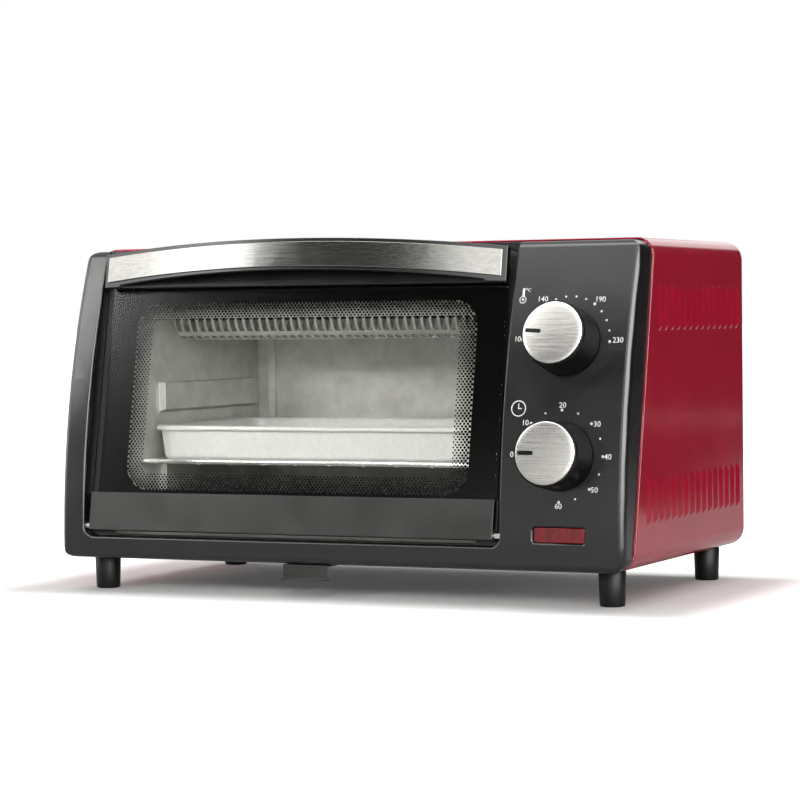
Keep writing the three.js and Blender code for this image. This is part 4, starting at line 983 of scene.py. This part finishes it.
def dial_marks(z, numbers, big, small):
    """Numbers beside a dial at height z, and dots at turns from its left, clockwise."""
    shape = bmesh.new()
    for text, (dx, height) in numbers.items():
        write(shape, text, DIAL_X + dx, height, LETTER)
    for turns, radius in ((big, 0.85), (small, 0.6)):
        for turn in turns:
            angle = math.radians(180 - turn)
            disc(shape, DIAL_X + RING * math.cos(angle), z + RING * math.sin(angle), radius)
    return shape


# %% Minutes and their clock icon
TURN_PER_MINUTE = 4.5
minutes = dial_marks(
    TIMER_Z, {
        "0": (-28.6, 84.4), "10": (-21.4, 101.9), "20": (0.2, 111.7), "30": (21.1, 101.4),
        "40": (28.2, 83.7), "50": (20.8, 65.6), "60": (-0.2, 56.4),
    },
    big=[TURN_PER_MINUTE * m for m in range(10, 61, 10)],
    small=[TURN_PER_MINUTE * m for m in (15, 25, 35, 45, 55)])
disc(minutes, 114.5, 109.8, 4.5, 3.9)
bar(minutes, 114.5, 111.1, 0.6, 3.0)
bar(minutes, 115.4, 109.8, 2.2, 0.6)
drop_on_face(minutes)
print("minute marks", len(minutes.faces), "faces")

# %% Degrees and their thermometer icon
TURN_PER_DEGREE, COLDEST = 1.3846, 100
degrees = dial_marks(
    THERMOSTAT_Z, {
        "100": (-28.6, 148.0), "140": (-16.9, 170.2), "190": (17.5, 169.6), "230": (30.0, 147.1),
    },
    big=[0, 55.4, 124.6, 180],
    small=[TURN_PER_DEGREE * (t - COLDEST) for t in range(110, 230, 10) if t not in (140, 190)])
disc(degrees, 111.5, 170.0, 2.1, 1.6)
disc(degrees, 111.5, 170.0, 0.8)
bar(degrees, 111.55, 173.6, 1.5, 4.4)
disc(degrees, 111.6, 175.8, 0.75)
disc(degrees, 113.3, 176.0, 0.55, 0.3)
write(degrees, "C", 114.9, 175.2, 2.7)
drop_on_face(degrees)
print("degree marks", len(degrees.faces), "faces")

# %% Ink of both
for name, shape in (("minute_marks", minutes), ("degree_marks", degrees)):
    bmesh.ops.recalc_face_normals(shape, faces=shape.faces)
    turn_faces(shape, -1)
    marks = set_down(name, shape, WHITE_INK)
    thicken(marks, INK_THICK)
print("ink, in millimetres", INK_THICK)

# %% [markdown]
# ## Small pieces and the inside
# The lens sits in its slot. The pieces nobody sees from outside keep their solid shapes, and get
# the finish of the real ones, because the door opens and the back can come off.

# %% Lens and inner pieces
dressed("signal_lens", "indicator_lens", RED_LENS, 0.35, angle=30)
inner_pieces = (
    (RAIL_PAINT, "face_plate"),
    (ZINC_SHEET, "base_plate", "heat_shield", "tray_runner_left", "tray_runner_right",
     "hinge_bracket_left", "hinge_bracket_right", "timer_body"),
    (PLATED_STEEL, "hinge_pin_left", "hinge_pin_right", "thermostat_shaft", "timer_shaft",
     "timer_bell"),
    (CERAMIC, "thermostat_body", "indicator_lamp", "terminal_block", "upper_left_bush",
     "upper_right_bush", "lower_left_bush", "lower_right_bush"),
    (SLEEVE, "timer_wire", "thermostat_wire", "upper_element_wire", "lower_element_wire",
     "element_link_wire"),
)
for finish, *nodes in inner_pieces:
    for node in nodes:
        materials = frame["nodes"][node].data.materials
        materials.clear()
        materials.append(finish)
print("inner pieces", sum(len(nodes) for finish, *nodes in inner_pieces))

# %% [markdown]
# ## Floor and backdrop
# The oven stands on a pale sheet that runs away behind it. Away from the oven the sheet glows for
# the camera only, so that it melts into the white backdrop as an overexposed sheet does. The glow
# is faint near the oven and rises to full over a few centimetres round its footprint, so the shade
# close to it is real shade lightened a little by painted glow, and the outer edge of the shadow is
# painted by the glow. The backdrop is a sky that looks full white but lights the set dimly.

# %% Floor and world
WHITE = (1, 1, 1, 1)
SHADED, GLOW_LOW, GLOW_WIDTH, SKY_LIGHT = (0.2, 0.095, 0), 0.06, 0.06, 0.42
floor_shape = bmesh.new()
bmesh.ops.create_circle(floor_shape, cap_ends=True, segments=64, radius=30)
floor = add_object("floor_sheet", mesh_from("floor_sheet", floor_shape))
floor_material, tree = start_finish("paper_with_painted_glow")
fibre = grain(tree, 3, detail=3)
paper = add(tree, "BsdfDiffuse", {"Color": between(tree, fibre, "#f2f2f0", "#f6f6f4")})
path = add(tree, "LightPath").outputs["Is Camera Ray"]
place = add(tree, "TexCoord").outputs["Object"]
folded = add(tree, "VectorMath", {0: place}, operation="ABSOLUTE")
beside = add(tree, "VectorMath", {0: folded.outputs[0], 1: SHADED}, operation="SUBTRACT")
beside = add(tree, "VectorMath", {0: beside.outputs[0], 1: (0, 0, 0)}, operation="MAXIMUM")
away = add(tree, "VectorMath", {0: beside.outputs[0]}, operation="LENGTH")
# Painted shade edge: the camera-only glow is faint at the oven's footprint and full a few
# centimetres away, so it lightens the real shade there and erases it further out.
lift = add(tree, "MapRange", {
    0: away.outputs["Value"], 1: 0.0, 2: GLOW_WIDTH, 3: GLOW_LOW, 4: 1.0,
}, interpolation_type="SMOOTHSTEP")
glow = add(tree, "Emission", {
    "Color": WHITE, "Strength": calc(tree, "MULTIPLY", path, lift.outputs[0]),
})
both = add(tree, "AddShader", {0: paper.outputs[0], 1: glow.outputs[0]})
floor.data.materials.append(end_finish(floor_material, both))
print("floor shade, in metres", SHADED[:2])

# %% World
world = bpy.data.worlds.new("studio")
bpy.context.scene.world = world
world.use_nodes = True
world.cycles.sampling_method = "NONE"
world.node_tree.nodes.clear()
tree = world.node_tree
seen = add(tree, "LightPath").outputs
looked_at = calc(tree, "MAXIMUM", seen["Is Camera Ray"], seen["Is Glossy Ray"])
looked_at = calc(tree, "MAXIMUM", looked_at, seen["Is Transmission Ray"])
strength = spread(tree, looked_at, SKY_LIGHT, 1.0, start=0.0, end=1.0)
sky = add(tree, "Background", {"Color": WHITE, "Strength": strength})
add(tree, "OutputWorld", {0: sky.outputs[0]})
print("sky light", SKY_LIGHT)

# %% [markdown]
# ## Lamps
# A broad lamp from the front right does the main work, one from above lights the top, and two
# narrow beams shine in through the door, on the tray and on the left wall. Glossy surfaces see
# none of the lamps: what they mirror is set apart, by the cards below.


# %% Lamps
def lamp(name, spot, aim, size, watts, beam=180):
    """A soft rectangular lamp at a spot, turned towards what it lights. A beam's width is in
    degrees."""
    data = bpy.data.lights.new(name, "AREA")
    data.shape, data.size, data.size_y, data.energy = "RECTANGLE", size[0], size[1], watts
    data.spread = math.radians(beam)
    made = add_object(name, data)
    made.location = spot
    made.rotation_mode = "QUATERNION"
    made.rotation_quaternion = (Vector(aim) - Vector(spot)).to_track_quat("-Z", "Y")
    made.visible_camera = made.visible_glossy = False


lamp("front_lamp", (0.6, -1.25, 0.62), (0.05, 0, 0.1), (0.5, 0.5), 7.6)
lamp("oven_lamp", (-0.3, -1.1, 0.42), (-0.03, 0.08, 0.13), (0.2, 0.1), 0.165, beam=26)
lamp("wall_lamp", (0.3, -1.0, 0.3), (-0.16, 0, 0.15), (0.1, 0.1), 0.02, beam=14)
lamp("top_lamp", (-0.2, 0.1, 2.0), (0, 0, 0.1), (1.6, 1.2), 14)
print("lamps", len(bpy.data.lights))

# %% [markdown]
# ## Cards
# Cards stand round the set as in a studio: glossy surfaces see them, and nothing else does. They
# decide where black plastic and glass look pale and where they stay dark, and a tall one at the
# right draws the thin line along the rounded edge. A lamp would light matt surfaces as well.


# %% Cards
def card(name, corners, strength):
    """A flat card that only glossy surfaces see. Strength is a number, or a function that draws
    a pattern of it."""
    shape = bmesh.new()
    shape.faces.new([shape.verts.new(c) for c in corners])
    made = add_object(name, mesh_from(name, shape))
    for kind in ("camera", "diffuse", "transmission", "shadow", "volume_scatter"):
        setattr(made, "visible_" + kind, False)
    material, tree = start_finish(name)
    glow = add(tree, "Emission", {
        "Color": WHITE, "Strength": strength(tree) if callable(strength) else strength,
    })
    made.data.materials.append(end_finish(material, glow))


def front_card_light(tree):
    """Bright far left and high up, darkest where the leaning door looks."""
    place = add(tree, "SeparateXYZ", {0: add(tree, "TexCoord").outputs["Object"]})

    def ramp(axis, start, end, low, high):
        return add(tree, "MapRange", {
            0: place.outputs[axis], 1: start, 2: end, 3: low, 4: high,
        }, interpolation_type="SMOOTHSTEP").outputs[0]

    across, upwards = 0, 2
    far_left = calc(
        tree, "MULTIPLY", ramp(across, -2.0, -1.7, 1, 0), ramp(upwards, 0.9, 1.3, 0.8, 9))
    level = calc(tree, "MULTIPLY", far_left, ramp(across, -3.4, -2.6, 0.42, 1))
    high = calc(
        tree, "MULTIPLY", ramp(upwards, 1.42, 2.5, 0, 2.6), ramp(across, -1.9, -1.3, 0.4, 1))
    low_right = calc(
        tree, "MULTIPLY", ramp(upwards, 0.68, 0.95, 0.5, 0), ramp(across, -1.2, -1.05, 0, 1))
    low = ramp(upwards, 0.1, 1.0, 0.6, 0)
    right_end = ramp(across, -0.45, 0, 0, 3.6)
    for part in (high, low_right, low, right_end):
        level = calc(tree, "ADD", level, part)
    return level


# %% Standing cards and flat ones
for name, near, far, low, high, strength in (
    ("front_card", (-6, -2.6), (0.5, -2.6), 0, 3, front_card_light),
    ("key_card", (1.0, -2.13), (2.2, -0.26), 0.02, 2.2, 12),
    ("left_card", (-2.4, -1.2), (-2.4, 0.3), 0.02, 2, 3),
    ("rear_left_card", (-2.4, 0.3), (-2.4, 2.6), 0.02, 2, 0.6),
    ("side_card", (0.45, 2.35), (2.3, 1.3), 0.02, 3.5, 0.04),
    ("ramp_card", (1.5, 0.1), (1.5, 1.1), 0.02, 2, 0.04),
    ("back_card", (-0.6, 3), (1.6, 3), 0.7, 3, 1.6),
):
    card(name, [(*near, low), (*far, low), (*far, high), (*near, high)], strength)
for name, height, strength, *plan in (
    ("floor_card", 0.003, 0.04, (0.39, 0.55), (1.3, 0.1), (2.2, 1.4), (0.81, 2.35)),
    ("top_card", 2.3, 7, (-1.2, -1.6), (1.2, -1.6), (1.2, -0.1), (-1.2, -0.1)),
):
    card(name, [(*point, height) for point in plan], strength)

# %% [markdown]
# ## Colours
# The standard view shows each colour as it was chosen, where a filmic one would grey the white
# sheet.

# %% Colour management
bpy.context.scene.view_settings.view_transform = "Standard"
